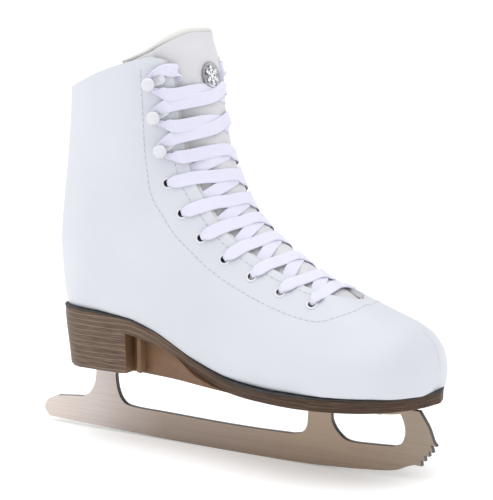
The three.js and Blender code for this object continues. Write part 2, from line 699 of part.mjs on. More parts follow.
// Pan-head screw, head down, under a plate whose underside is at z.
function screw() {
  const head = -GAP - SCREW_HEAD_HEIGHT;
  return turned([
    [0, head], [SCREW_HEAD * 0.75, head], [SCREW_HEAD, head + 0.6], [SCREW_HEAD, -GAP], [SCREW_SHANK, -GAP],
    [SCREW_SHANK, SCREW_LENGTH], [0, SCREW_LENGTH + 0.8],
  ], 8).rotateX(Math.PI / 2);
}

// ---------------------------------------------------------------- the assembly

const group = new THREE.Group();

function put(name, geometry, material) {
  const mesh = new THREE.Mesh(geometry, material);
  mesh.name = name;
  group.add(mesh);
  return mesh;
}

function putOnSkin(name, geometry, material, [station, u], side) {
  const mesh = put(name, geometry, material);
  mesh.position.copy(bootPoint(station, u, side));
  mesh.quaternion.copy(skinTurn(station, u, side));
}

put('blade', blade(), STEEL);
put('rear_sole_plate', plate(REAR_PLATE, REAR_SCREWS), STEEL);
put('front_sole_plate', plate(FRONT_PLATE, FRONT_SCREWS), STEEL);
REAR_SCREWS.forEach(([x, y], k) => {
  put(`rear_screw_${k + 1}`, screw(), STEEL).position.set(x, y, REAR_PLATE.top - PLATE_THICK);
});
FRONT_SCREWS.forEach(([x, y], k) => {
  put(`front_screw_${k + 1}`, screw(), STEEL).position.set(x, y, FRONT_PLATE.top - PLATE_THICK);
});
put('outsole_heel_unit', outsole(), SOLE);
put('welt_rand', welt(), WELT);
put('upper_shell', upperShell(), LEATHER);
const middle = middleLayers();
put('toe_puff', middle.puff, BOARD);
put('heel_counter', middle.counter, BOARD);
put('ankle_padding', middle.padding, PADDING);
put('lining', lining(), LINING);
put('insole_board', insoleBoard(), BOARD);
put('footbed', footbed(), LINING);
put('collar_roll', collarRoll(), TRIM);
const tongue = tongueParts();
put('tongue', tongue.lower, LEATHER);
put('tongue_flap', tongue.flap, LEATHER);
const badgeMesh = put('tongue_badge', badge(), SILVER);
badgeMesh.position.copy(bootPoint(BADGE.station, CROWN, 1, TONGUE_CENTRE - 0.8));
put('lace', lace(), LACING);
for (const [label, side] of [['right', -1], ['left', 1]]) {
  HOOKS.forEach((place, k) => putOnSkin(`lace_hook_${label}_${k + 1}`, hook(), ENAMEL, place, side));
  EYELETS.forEach((place, k) => putOnSkin(`eyelet_${label}_${k + 1}`, eyelet(), ENAMEL, place, side));
}

export default group;
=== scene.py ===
"""Looks for a laced figure-skating boot and its blade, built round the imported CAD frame.

Lengths in the tables are millimetres; mesh() turns them into metres. +X is the toe, +Y the wearer's
left and +Z up.
"""
import contextlib
import math

import bmesh
import bpy
import numpy as np
from mathutils import Matrix, Vector
from mathutils.kdtree import KDTree


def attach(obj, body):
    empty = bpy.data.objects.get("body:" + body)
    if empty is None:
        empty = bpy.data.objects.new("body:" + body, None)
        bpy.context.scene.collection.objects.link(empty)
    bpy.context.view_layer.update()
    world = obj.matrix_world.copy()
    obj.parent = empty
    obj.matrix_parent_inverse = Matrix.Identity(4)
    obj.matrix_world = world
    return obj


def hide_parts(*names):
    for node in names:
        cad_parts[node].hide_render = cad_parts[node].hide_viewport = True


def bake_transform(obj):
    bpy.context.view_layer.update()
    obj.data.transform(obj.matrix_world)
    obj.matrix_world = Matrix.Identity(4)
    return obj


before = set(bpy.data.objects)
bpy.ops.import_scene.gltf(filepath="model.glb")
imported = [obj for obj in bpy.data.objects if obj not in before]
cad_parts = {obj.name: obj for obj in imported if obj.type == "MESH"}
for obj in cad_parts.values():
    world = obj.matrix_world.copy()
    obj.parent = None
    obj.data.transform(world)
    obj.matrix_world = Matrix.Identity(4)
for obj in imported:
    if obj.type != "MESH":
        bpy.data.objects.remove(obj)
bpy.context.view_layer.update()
MM = 0.001
SIDES = (-1, 1)

# ---------------------------------------------------------------- the boot's surface

# Cross-sections of the boot: base x and z, crown x and z, then half widths at six heights.
STATIONS = np.array([
    (148.6, 66, 148.6, 72, 2, 2.4, 3, 2.8, 2, 1.2),
    (146.6, 58.6, 146.6, 82, 11, 14, 15.5, 14.5, 10.5, 6),
    (142, 57.4, 142, 90, 21, 25, 27, 25, 18, 10),
    (133, 56.8, 133, 97.5, 31, 36, 38, 34.5, 24.5, 14),
    (117, 56.6, 117, 104.2, 38, 43.5, 44.5, 40.5, 28.5, 16.5),
    (95, 56.9, 95, 113, 43, 47, 47.5, 41.5, 29, 17),
    (71, 57.6, 71, 123, 42, 46, 46, 39, 27, 16),
    (46, 58, 51, 134, 38, 43, 43.5, 37.5, 26, 15.5),
    (21, 60, 32, 146.5, 33, 38.5, 40, 35.5, 25.5, 16),
    (-8, 67, 17, 160, 28.5, 34.5, 37.5, 34.5, 26.5, 17),
    (-42, 80.8, 8, 174, 28, 33, 36, 34.5, 27.5, 18),
    (-78, 90.8, 2, 187, 28.5, 33.5, 36, 35, 28.5, 19),
    (-107, 93, -2, 198, 24, 31, 36, 36, 29.5, 20),
    (-122.5, 94.5, -4.5, 208, 12, 23, 35, 37, 31, 21),
    (-129, 109, -6.5, 217, 7, 18, 33, 37, 32, 22),
    (-130.3, 134, -8.5, 226, 6, 18, 32, 37, 33, 23),
    (-126, 162, -10.5, 235, 7, 19, 32, 37.5, 34, 24),
    (-121.3, 190, -12.5, 243.5, 8, 20, 33, 38, 35, 25),
    (-118, 214, -14, 250.5, 8.5, 21, 34, 39, 36, 26),
    (-115.8, 235, -15.5, 256.5, 9, 22, 35, 40, 37, 27),
    (-115, 236, -17, 263.5, 9, 22, 35, 40, 37, 27),
    (-114.3, 236.5, -18.5, 270.5, 9, 22, 35, 40, 37, 27),
    (-113.6, 237, -20, 277.5, 9, 22, 35, 40, 37, 27),
], float)
WIDTH_HEIGHTS = (0, 0.08, 0.3, 0.55, 0.8, 0.94)
COLLAR = 19.0
CROWN = 9.0
TOE_STATION = 4.0
COLLAR_RISE = 5.7
RISE_START = 16.5
# The crown between the facings lies this far towards the wearer's left, and less far at the collar.
CROWN_SHIFT = 4.5
CROWN_SHIFT_TOP = 2.0
SWING_START = 20.0
SWING_LENGTH = 130.0
SWING_TOE = 9.0
SWING_BALL = 3.5
NORMAL_STEP = 0.05

SKIN_THICK = 2.2

# Half width of the gap between the facings, as (station, half width).
THROAT = np.array([
    (4.8, 0.5), (4.87, 6), (5.05, 10.5), (5.4, 14.5), (6, 17.5), (7, 19.5), (8.4, 21.3), (9.6, 23),
    (11, 23.8), (12.2, 24), (13.5, 24.8), (14.7, 26.2), (16, 27.2), (17.2, 27.9), (18.0, 29.6),
    (18.6, 32.2), (19, 36.5), (22, 36.5)], float)
THROAT_END = 4.8

# Places on the skin as (station, place round the section).
HOOKS = ((17.6, 6.0), (15.95, 6.05), (14.15, 6.1))
EYELETS = ((12.3, 5.95), (10.75, 5.75), (9.7, 5.7), (8.7, 5.75), (7.7, 5.85), (6.7, 5.95), (5.7, 6.2))
OUTER_SEAM = np.array([
    (4.5, 9), (4.55, 8), (4.65, 7), (5.05, 6.05), (5.6, 5.6), (7, 5.4), (10, 5.3), (11.6, 5.5), (14, 5.7),
    (18.7, 5.75)], float)


def smoothstep(low, high, x):
    """Soft step from 0 at low to 1 at high."""
    t = np.clip((np.asarray(x, float) - low) / (high - low), 0, 1)
    return t * t * (3 - 2 * t)


def curve_at(rows, t):
    """Uniform Catmull-Rom curve through rows, carried on straight past its ends."""
    rows = np.asarray(rows, float)
    t = np.asarray(t, float)
    i = np.clip(np.floor(t).astype(int), 0, len(rows) - 2)
    ends = [2 * rows[:1] - rows[1:2], rows, 2 * rows[-1:] - rows[-2:-1]]
    padded = np.concatenate(ends)
    a, b, c, d = (padded[i + k] for k in range(4))
    return catmull(a, b, c, d, (t - i)[..., None])


def catmull(a, b, c, d, f):
    """Catmull-Rom value at the share f of the way from b to c."""
    cubic = 3 * b - a - 3 * c + d
    return 0.5 * (2 * b + (c - a) * f + (2 * a - 5 * b + 4 * c - d) * f**2 + cubic * f**3)


def swing(x):
    """Sideways shift of the boot's middle line."""
    t = np.clip((np.asarray(x, float) - SWING_START) / SWING_LENGTH, 0, 1)
    return SWING_TOE * t**3 - SWING_BALL * np.sin(math.pi * t) * t


def boot_point(station, u, side, depth=0.0):
    """Points of the boot: station along it, u round the section to the crown, depth below the skin."""
    given = np.broadcast_arrays(*(np.asarray(a, float) for a in (station, u, side, depth)))
    shape = given[0].shape
    station, u, side, depth = (a.ravel() for a in given)
    row = curve_at(STATIONS, station)
    base_x, base_z, crown_x, crown_z = row[:, :4].T
    widths = row[:, 4:]
    ring = np.zeros((len(u), 12, 2))
    ring[:, 3:9, 0] = WIDTH_HEIGHTS
    ring[:, 9:11, 0] = 1
    ring[:, 2, 1] = 0.55 * widths[:, 0]
    ring[:, 3:9, 1] = widths
    ring[:, 9, 1] = 0.45 * widths[:, 5]
    ring[:, 0] = 2 * ring[:, 1] - ring[:, 2]
    ring[:, 11] = 2 * ring[:, 10] - ring[:, 9]
    i = np.clip(np.floor(u).astype(int), 0, 8)
    at = np.arange(len(u))
    v, w = catmull(*(ring[at, i + k] for k in range(4)), (u - i)[:, None]).T
    inset = depth / np.hypot(crown_x - base_x, crown_z - base_z)
    v = inset + np.clip(v, 0, 1) * (1 - 2 * inset)
    w = w * np.maximum(0.25, 1 - depth / widths.max(axis=1))
    toe = depth * np.clip((TOE_STATION - station) / (TOE_STATION - 1), 0, 1)
    x = base_x + (crown_x - base_x) * v - toe
    rise = COLLAR_RISE * smoothstep(-0.05, 0.68, v) * smoothstep(RISE_START, COLLAR, station)
    z = base_z + (crown_z - base_z) * v + rise
    shift = CROWN_SHIFT + (CROWN_SHIFT_TOP - CROWN_SHIFT) * smoothstep(16, 19, station)
    lean = shift * smoothstep(0.86, 1.0, v) * smoothstep(4.5, 9.0, station)
    return np.stack([x, side * w + swing(x) + lean, z], axis=1).reshape(shape + (3,))


def unit(v):
    """Vectors of length 1."""
    v = np.asarray(v, float)
    return v / np.maximum(np.linalg.norm(v, axis=-1, keepdims=True), 1e-9)


def boot_normal(station, u, side):
    """Way out of the boot's surface."""
    along = boot_point(station + NORMAL_STEP, u, side) - boot_point(station - NORMAL_STEP, u, side)
    around = boot_point(station, u + NORMAL_STEP, side) - boot_point(station, u - NORMAL_STEP, side)
    return unit(np.cross(along, around) * np.asarray(side, float)[..., None])


def u_at_width(station, half):
    """Place round the section, above the ankle bulge, where the boot is this half width."""
    station = np.atleast_1d(np.asarray(station, float))
    half = np.broadcast_to(np.asarray(half, float), station.shape)
    us = np.linspace(5.0, CROWN, 81)
    found = []
    for s, h in zip(station, half):
        widths = 0.5 * (boot_point(s, us, 1)[:, 1] - boot_point(s, us, -1)[:, 1])
        found.append(np.interp(h, widths[::-1], us[::-1]))
    return np.array(found)


def facing_edge(station, behind):
    """Place round the section this far behind the facing's edge; in front of the throat, the crown."""
    station = np.atleast_1d(np.asarray(station, float))
    half = np.interp(station, THROAT[:, 0], THROAT[:, 1]) + behind
    return np.where(station <= THROAT_END, CROWN, u_at_width(station, half))


# ---------------------------------------------------------------- meshes

WELD_REACH = 1e-7
RIM_ANGLE = math.radians(60)


def mesh(name, points, faces, look, smooth=True, sharp=None):
    """New object from millimetre points, with one material or several."""
    data = bpy.data.meshes.new(name)
    data.from_pydata((np.asarray(points, float) * MM).tolist(), [], [list(map(int, f)) for f in faces])
    data.update()
    data.polygons.foreach_set("use_smooth", [smooth] * len(data.polygons))
    if sharp is not None:
        data.set_sharp_from_angle(angle=math.radians(sharp))
    for one in look if isinstance(look, (list, tuple)) else [look]:
        data.materials.append(one)
    obj = bpy.data.objects.new(name, data)
    bpy.context.scene.collection.objects.link(obj)
    return obj


@contextlib.contextmanager
def editing(obj):
    """Opens an object's mesh for editing, and writes it back at the end."""
    bm = bmesh.new()
    bm.from_mesh(obj.data)
    yield bm
    bm.to_mesh(obj.data)
    bm.free()


def outward(obj, weld=False):
    """Turns the faces of a mesh outwards, with points at the same place made into one if weld is set."""
    with editing(obj) as bm:
        if weld:
            bmesh.ops.remove_doubles(bm, verts=bm.verts, dist=WELD_REACH)
        bmesh.ops.recalc_face_normals(bm, faces=bm.faces)
    return obj


def grid_faces(rows, columns, closed=False, start=0):
    """Quads between the rows of a grid; closed joins the last column to the first."""
    faces = []
    for i in range(rows - 1):
        for j in range(columns if closed else columns - 1):
            a = start + i * columns + j
            b = start + i * columns + (j + 1) % columns
            faces.append((a, b, b + columns, a + columns))
    return faces


def loft(name, rings, look, sharp=None):
    """Closed body through rings of equal length, with a flat end at both."""
    rings = np.asarray(rings, float)
    rows, columns = rings.shape[:2]
    faces = grid_faces(rows, columns, closed=True)
    faces.append(tuple(range(columns))[::-1])
    faces.append(tuple(range((rows - 1) * columns, rows * columns)))
    return outward(mesh(name, rings.reshape(-1, 3), faces, look, sharp=sharp))


def with_values(target, **values):
    """Sets several properties of something and returns it."""
    for key, value in values.items():
        setattr(target, key, value)
    return target


def modify(obj, kind, **settings):
    """Adds a modifier with its settings."""
    return with_values(obj.modifiers.new(kind.lower(), kind), **settings)


def apply_modifiers(obj):
    """Bakes an object's modifiers into its mesh."""
    graph = bpy.context.evaluated_depsgraph_get()
    baked = bpy.data.meshes.new_from_object(obj.evaluated_get(graph))
    obj.modifiers.clear()
    obj.data = baked
    return obj


def thicken(obj, thickness, bevel=0.0):
    """Gives a sheet its thickness, below its face, and rounds the rims."""
    modify(obj, "SOLIDIFY", thickness=thickness * MM, offset=-1)
    if bevel:
        modify(obj, "BEVEL", width=bevel * MM, segments=3, limit_method="ANGLE", angle_limit=RIM_ANGLE)
    return apply_modifiers(obj)


SIM_FRAMES = 20
# A pad is drawn in by this much before it swells.
SLACK = 0.35
CLOTH = {
    "quality": 4, "mass": 0.3, "tension_stiffness": 12, "compression_stiffness": 12, "shear_stiffness": 6,
    "bending_stiffness": 0.6, "use_pressure": True,
}


def points_of(data):
    """The points of a mesh as an array, in metres."""
    flat = np.empty(len(data.vertices) * 3)
    data.vertices.foreach_get("co", flat)
    return flat.reshape(-1, 3)


def even_mesh(obj, voxel):
    """Gives a pad an even mesh of this size, a little inside its first shape."""
    modify(obj, "REMESH", mode="VOXEL", voxel_size=voxel * MM, use_smooth_shade=True)
    modify(obj, "LAPLACIANSMOOTH", iterations=2, lambda_factor=0.4)
    modify(obj, "DISPLACE", strength=-SLACK * MM, mid_level=0.0)
    apply_modifiers(obj)


def after_cloth(obj, pressure):
    """Where an object's points end when it is simulated as cloth under pressure."""
    cloth = modify(obj, "CLOTH")
    with_values(cloth.settings, uniform_pressure_force=pressure, **CLOTH)
    cloth.settings.effector_weights.gravity = 0
    cloth.collision_settings.use_collision = False
    with_values(cloth.point_cache, frame_start=1, frame_end=SIM_FRAMES)
    for number in range(1, SIM_FRAMES + 1):
        bpy.context.scene.frame_set(number)
    swollen = points_of(obj.evaluated_get(bpy.context.evaluated_depsgraph_get()).data)
    obj.modifiers.remove(cloth)
    bpy.context.scene.frame_set(1)
    return swollen


def inflate(obj, voxel, cap, pressure):
    """Swells a pad as cloth round pressed filling; no point ends further than cap from where it began."""
    even_mesh(obj, voxel)
    start = points_of(obj.data)
    moves = after_cloth(obj, pressure) - start
    lengths = np.maximum(np.linalg.norm(moves, axis=1), 1e-9)
    moves *= (cap * MM * np.tanh(lengths / (cap * MM)) / lengths)[:, None]
    obj.data.vertices.foreach_set("co", (start + moves).ravel())
    modify(obj, "SUBSURF", levels=1, render_levels=1)
    apply_modifiers(obj)
    obj.data.shade_smooth()


def join(name, objects):
    """Joins objects into the first one."""
    with bpy.context.temp_override(active_object=objects[0], selected_editable_objects=objects):
        bpy.ops.object.join()
    objects[0].name = name
    objects[0].data.name = name
    return objects[0]


def turned(name, profile, look, segments=40, sharp=35):
    """Turned piece about +Z from a profile of (radius, height); it closes on the axis or on itself."""
    angles = np.linspace(0, 2 * math.pi, segments, endpoint=False)
    ring = [[(r * math.cos(a), r * math.sin(a), h) for a in angles] for r, h in profile]
    points = np.array(ring).reshape(-1, 3)
    faces = grid_faces(len(profile), segments, closed=True)
    return outward(mesh(name, points, faces, look, sharp=sharp), weld=True)


def skin_matrix(station, u, side):
    """Matrix that stands a piece made about +Z on the skin; its +X points to the throat."""
    at = boot_point(station, u, side)
    normal = boot_normal(station, u, side)
    forward = boot_point(station, u + 0.2, side) - at
    forward = unit(forward - normal * forward.dot(normal))
    turn = Matrix([forward, np.cross(normal, forward), normal]).transposed().to_4x4()
    return Matrix.Translation(Vector(at * MM)) @ turn


def place_copies(obj, label, node, names, matrices, slot):
    """Places one mesh several times; each copy stands for the CAD's node with the same ending."""
    for name, matrix in zip(names, matrices):
        one = bpy.data.objects.new(f"{label}_{name}", obj.data)
        bpy.context.scene.collection.objects.link(one)
        one.matrix_world = matrix
        finish_piece(one, slot, f"{node}_{name}")
    bpy.data.objects.remove(obj)


def finish_piece(obj, slot, *nodes):
    """A piece of the boot: it rides the boot's body and stands for the CAD's nodes, if any."""
    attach(obj, "boot")
    if nodes:
        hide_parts(*nodes)


# ---------------------------------------------------------------- materials

def surface(name, color, roughness, **sockets):
    """Material with a Principled shader; sockets are named as in Blender with _ for a space."""
    look = bpy.data.materials.new(name)
    look.use_nodes = True
    shader = look.node_tree.nodes["Principled BSDF"]
    shader.inputs["Base Color"].default_value = (*color, 1)
    shader.inputs["Roughness"].default_value = roughness
    for key, value in sockets.items():
        shader.inputs[key.replace("_", " ")].default_value = value
    return look


def connect(look, value, socket):
    """Links a socket to another one's output, or sets it to a value."""
    if isinstance(value, bpy.types.NodeSocket):
        look.node_tree.links.new(value, socket)
    else:
        socket.default_value = value


def add(look, kind, output=0, props=None, **inputs):
    """Adds a node and returns one of its outputs; i0, i1 and so on name its inputs by number."""
    made = with_values(look.node_tree.nodes.new("ShaderNode" + kind), **(props or {}))
    for key, value in inputs.items():
        numbered = key[0] == "i" and key[1:].isdigit()
        connect(look, value, made.inputs[int(key[1:]) if numbered else key.replace("_", " ")])
    return made.outputs[output]


def drive(look, socket, value):
    """Links an output to a socket of the material's shader."""
    connect(look, value, look.node_tree.nodes["Principled BSDF"].inputs[socket])


def uneven_roughness(look, factor, low, high):
    """Roughness that goes from low to high where a factor goes from 0.3 to 0.7."""
    drive(look, "Roughness", grey_ramp(look, factor, (0.3, low), (0.7, high)))


def coordinates(look, scale=(1, 1, 1), source="Object"):
    """Texture coordinates of the piece; object coordinates are metres."""
    texture = look.node_tree.nodes.new("ShaderNodeTexCoord")
    return add(look, "Mapping", Vector=texture.outputs[source], Scale=scale)


def separate(look, vector):
    """The x, y and z of a vector."""
    return add(look, "SeparateXYZ", i0=vector).node.outputs


def attribute(look, name):
    """Value stored on the mesh's points."""
    return add(look, "Attribute", output=2, props={"attribute_name": name})


def noise(look, vector, scale, detail, roughness=0.5):
    """Soft noise over a vector."""
    return add(look, "TexNoise", Vector=vector, Scale=scale, Detail=detail, Roughness=roughness)


def ramp(look, factor, stops):
    """Colour ramp; stops are (place, colour)."""
    made = add(look, "ValToRGB", Fac=factor)
    elements = made.node.color_ramp.elements
    while len(elements) < len(stops):
        elements.new(0.5)
    for element, (place, color) in zip(elements, stops):
        element.position = place
        element.color = (*color, 1)
    return made


def grey(value):
    return (value, value, value)


def grey_ramp(look, factor, *stops):
    """Ramp of plain values; stops are (place, value)."""
    return ramp(look, factor, [(place, grey(value)) for place, value in stops])


def math_node(look, operation, a, b=None):
    """Result of a sum on one value or two; each may be an output or a number."""
    inputs = {"i0": a} if b is None else {"i0": a, "i1": b}
    return add(look, "Math", props={"operation": operation}, **inputs)


def mix_color(look, factor, a, b, blend="MIX"):
    """Colour between a and b, or their product; each may be an output or a colour."""
    a, b = ((*color, 1) if isinstance(color, tuple) else color for color in (a, b))
    props = {"data_type": "RGBA", "blend_type": blend}
    return add(look, "Mix", output=2, props=props, i0=factor, i6=a, i7=b)


def bump(look, height, distance, strength=1.0, below=None):
    """Bump in millimetres; below is the bump it is laid over."""
    inputs = {"Strength": strength, "Distance": distance * MM, "Height": height}
    if below is not None:
        inputs["Normal"] = below
    return add(look, "Bump", **inputs)


def leather(name, low, high, roughness, grain=0.05, seam=False):
    """Coated leather: fine pebble grain, faint creases and slow changes of tone; with seam set, a groove
    along the toe seam, darkened as painted shade.
    """
    look = surface(name, high, roughness, Specular_IOR_Level=0.42, Coat_Weight=0.12, Coat_Roughness=0.35)
    at = coordinates(look)
    tone = ramp(look, noise(look, at, 14, 2), [(0.3, low), (0.7, high)])
    pebble = add(look, "TexVoronoi", Vector=at, Scale=1100.0)
    crease = noise(look, at, 70, 4, 0.6)
    normal = bump(look, crease, 0.35)
    normal = bump(look, pebble, grain, 0.7, normal)
    if seam:
        near = math_node(look, "MULTIPLY", attribute(look, "seam"), attribute(look, "seam"))
        near = math_node(look, "EXPONENT", math_node(look, "MULTIPLY", near, -1.1))
        normal = bump(look, math_node(look, "SUBTRACT", 1.0, near), 0.5, 0.8, normal)
        # Painted shade: the tone is darkened towards grey near the toe seam.
        tone = mix_color(look, math_node(look, "MULTIPLY", near, 0.12), tone, (0.4, 0.41, 0.44))
    drive(look, "Base Color", tone)
    uneven_roughness(look, noise(look, at, 45, 3), roughness - 0.05, roughness + 0.07)
    drive(look, "Normal", normal)
    return look


def woven(name, low, high, pitch, depth, source="UV"):
    """Woven cloth: warp and weft ribs of this pitch and depth in millimetres."""
    look = surface(name, high, 0.85, Sheen_Weight=0.25, Sheen_Roughness=0.5)
    at = coordinates(look, source=source)
    x, y, _ = separate(look, at)
    per = 2 * math.pi / (pitch if source == "UV" else pitch * MM)
    ribs = []
    for operation in ("ADD", "SUBTRACT"):
        place = math_node(look, operation, x, y)
        ribs.append(math_node(look, "SINE", math_node(look, "MULTIPLY", place, per)))
    crossed = math_node(look, "MULTIPLY", *ribs)
    weave = add(look, "Math", props={"operation": "MULTIPLY_ADD"}, i0=crossed, i1=0.5, i2=0.5)
    fuzz = noise(look, at, 1.7 if source == "UV" else 1700, 2)
    drive(look, "Base Color", ramp(look, weave, [(0.0, low), (1.0, high)]))
    drive(look, "Normal", bump(look, fuzz, 0.05, 0.6, bump(look, weave, depth)))
    return look


def enamel(name, color):
    """Glossy paint with faint unevenness."""
    look = surface(name, color, 0.22, Coat_Weight=0.5, Coat_Roughness=0.12)
    at = coordinates(look)
    drive(look, "Normal", bump(look, noise(look, at, 500, 2), 0.03))
    drive(look, "Roughness", grey_ramp(look, noise(look, at, 350, 3), (0.3, 0.18), (0.75, 0.32)))
    return look


def brushed_steel(name, low, high, roughness, stretch=(14, 400, 900), painted_reflection=None):
    """Steel with fine brushed lines; the optional stops of (x in metres, colour) multiply in a painted
    reflection that changes slowly along x.
    """
    look = surface(name, high, roughness, Metallic=1.0)
    fine = noise(look, coordinates(look, stretch), 1.0, 4, 0.65)
    slow = noise(look, coordinates(look), 9, 2)
    tone = ramp(look, slow, [(0.3, low), (0.72, high)])
    # Painted reflection: the tone is multiplied by a ramp along x.
    if painted_reflection:
        start, end = painted_reflection[0][0], painted_reflection[-1][0]
        place = add(look, "MapRange", i0=separate(look, coordinates(look))[0], i1=start, i2=end)
        steps = [((x - start) / (end - start), color) for x, color in painted_reflection]
        tone = mix_color(look, 1.0, tone, ramp(look, place, steps), "MULTIPLY")
    lines = grey_ramp(look, fine, (0.35, 0.86), (0.65, 1.0))
    drive(look, "Base Color", mix_color(look, 1.0, tone, lines, "MULTIPLY"))
    uneven_roughness(look, fine, roughness - 0.06, roughness + 0.1)
    drive(look, "Normal", bump(look, fine, 0.02, 0.6))
    return look


# Ramps for the sole's grain, from its darkest streaks to its palest: on the heel and further forward.
SOLE_LIGHT = ((0.28, (0.06, 0.038, 0.026)), (0.5, (0.115, 0.077, 0.056)), (0.72, (0.18, 0.127, 0.094)))
SOLE_DARK = ((0.28, (0.022, 0.011, 0.006)), (0.5, (0.044, 0.024, 0.014)), (0.72, (0.08, 0.048, 0.03)))
LAYER_PITCH = 3.5


def stacked_sole(name):
    """Moulded sole made to look like stacked leather: streaked grain, with pale lines between layers."""
    look = surface(name, SOLE_LIGHT[1][1], 0.5, Specular_IOR_Level=0.16)
    x, y, _ = separate(look, coordinates(look))
    layer = attribute(look, "layer")
    streaked = [math_node(look, "MULTIPLY", *pair) for pair in ((x, 75.0), (y, 75.0), (layer, 1.25))]
    streaks = add(look, "CombineXYZ", i0=streaked[0], i1=streaked[1], i2=streaked[2])
    grain = noise(look, streaks, 1.0, 6, 0.62)
    heel = attribute(look, "heel")
    light = ramp(look, grain, SOLE_LIGHT)
    dark = ramp(look, grain, SOLE_DARK)
    tone = mix_color(look, heel, dark, light)
    wobble = math_node(look, "MULTIPLY", noise(look, streaks, 0.25, 2), 0.5)
    turns = math_node(look, "DIVIDE", layer, LAYER_PITCH)
    phase = math_node(look, "FRACT", math_node(look, "ADD", turns, wobble))
    line = grey_ramp(look, phase, (0.0, 0), (0.78, 0), (0.88, 1), (1.0, 0))
    line = math_node(look, "MULTIPLY", line, heel)
    tone = mix_color(look, math_node(look, "MULTIPLY", line, 0.55), tone, (0.30, 0.235, 0.175))
    drive(look, "Base Color", tone)
    normal = bump(look, grain, 0.18, 0.7)
    drive(look, "Normal", bump(look, line, 0.12, 0.5, normal))
    uneven_roughness(look, grain, 0.42, 0.6)
    return look


def moulded(name, low, high, roughness):
    """Smooth moulded plastic or rubber with a faint mottle."""
    look = surface(name, high, roughness, Specular_IOR_Level=0.35)
    at = coordinates(look)
    drive(look, "Base Color", ramp(look, noise(look, at, 90, 4), [(0.3, low), (0.7, high)]))
    uneven_roughness(look, noise(look, at, 220, 3), roughness - 0.06, roughness + 0.08)
    drive(look, "Normal", bump(look, noise(look, at, 900, 3), 0.05, 0.6))
    return look


# The white leather carries the painted shade along its toe seam.
LEATHER = leather("white_leather", (0.535, 0.552, 0.598), (0.562, 0.58, 0.628), 0.44, seam=True)
TRIM = leather("edge_trim", (0.57, 0.56, 0.545), (0.62, 0.61, 0.59), 0.55, grain=0.04)
TONGUE_LOOK = leather("tongue_vinyl", (0.545, 0.545, 0.57), (0.59, 0.59, 0.615), 0.46, grain=0.04)
LINING_LOOK = woven("lining_cloth", (0.60, 0.60, 0.62), (0.74, 0.74, 0.75), 1.1, 0.1, source="Object")
FOAM = moulded("foam", (0.62, 0.56, 0.38), (0.7, 0.64, 0.46), 0.9)
BOARD = moulded("fibre_board", (0.34, 0.25, 0.16), (0.44, 0.33, 0.22), 0.85)
LACE_LOOK = woven("lace_weave", (0.62, 0.62, 0.75), (0.73, 0.73, 0.85), 0.62, 0.09)
THREAD = moulded("thread", (0.54, 0.545, 0.57), (0.6, 0.605, 0.63), 0.8)
# Painted shade: dark discs at the needle holes stand for the shade in them.
NEEDLE_SHADE = moulded("needle_hole_shade", (0.2, 0.2, 0.21), (0.27, 0.27, 0.28), 0.9)
ENAMEL = enamel("white_enamel", (0.60, 0.61, 0.645))
# Painted shade: near-black closed wells in the eyelets and crosses in the screw heads stand for the shade
# in those holes.
PAINTED_SHADE = moulded("eyelet_and_recess_shade", (0.012, 0.013, 0.02), (0.03, 0.032, 0.045), 0.4)
SILVER = brushed_steel("badge_silver", (0.34, 0.35, 0.38), (0.48, 0.49, 0.52), 0.3, (900, 900, 60))
BADGE_LIGHT = enamel("badge_relief", (0.78, 0.79, 0.81))
# Painted reflection on the blade's steel: its tone at places along it, in metres.
BLADE_PAINTED_REFLECTION = (
    (-0.146, (0.66, 0.585, 0.545)), (-0.11, (0.57, 0.505, 0.475)), (-0.08, (0.43, 0.37, 0.34)),
    (-0.05, (0.33, 0.27, 0.225)), (0.0, (0.31, 0.245, 0.205)), (0.06, (0.33, 0.255, 0.195)),
    (0.1, (0.32, 0.245, 0.19)), (0.14, (0.3, 0.245, 0.195)))
STEEL_WITH_PAINTED_REFLECTION = brushed_steel("blade_steel", grey(0.94), grey(1.0), 0.34, painted_reflection=BLADE_PAINTED_REFLECTION)
# Painted reflection: the blade's edges are coloured near black for the dark surroundings they reflect.
STEEL_EDGE_PAINTED_REFLECTION = brushed_steel("blade_edge_painted_reflection", (0.07, 0.068, 0.068), (0.13, 0.125, 0.12), 0.42)
SCREW_LOOK = brushed_steel("screw_steel", (0.5, 0.5, 0.5), (0.66, 0.66, 0.66), 0.3)
SOLE_LOOK = stacked_sole("stacked_sole")
WEB_LOOK = moulded("sole_web", (0.125, 0.064, 0.03), (0.165, 0.088, 0.045), 0.5)
WELT_LOOK = moulded("welt_rubber", (0.022, 0.021, 0.022), (0.045, 0.043, 0.043), 0.6)


# ---------------------------------------------------------------- upper and its layers

# Stations round the front end of the throat, where the rows are four times closer.
FINE_STATIONS = (4.6, 5.6)


def station_rows(start, end, step):
    """Stations from start to end, closer together at the front end of the throat."""
    plain = np.arange(start, end, step)
    fine = np.arange(*FINE_STATIONS, step / 4)
    rows = np.concatenate([plain, fine[(fine > start) & (fine < end)], [end]])
    return np.unique(np.round(rows, 4))


# Share of the way round to the facing that lies under the foot, with wider columns.
UNDERFOOT = 0.26
# A sheet that starts at a station below this one gets a face over its front end.
CAPPED_BELOW = 0.5


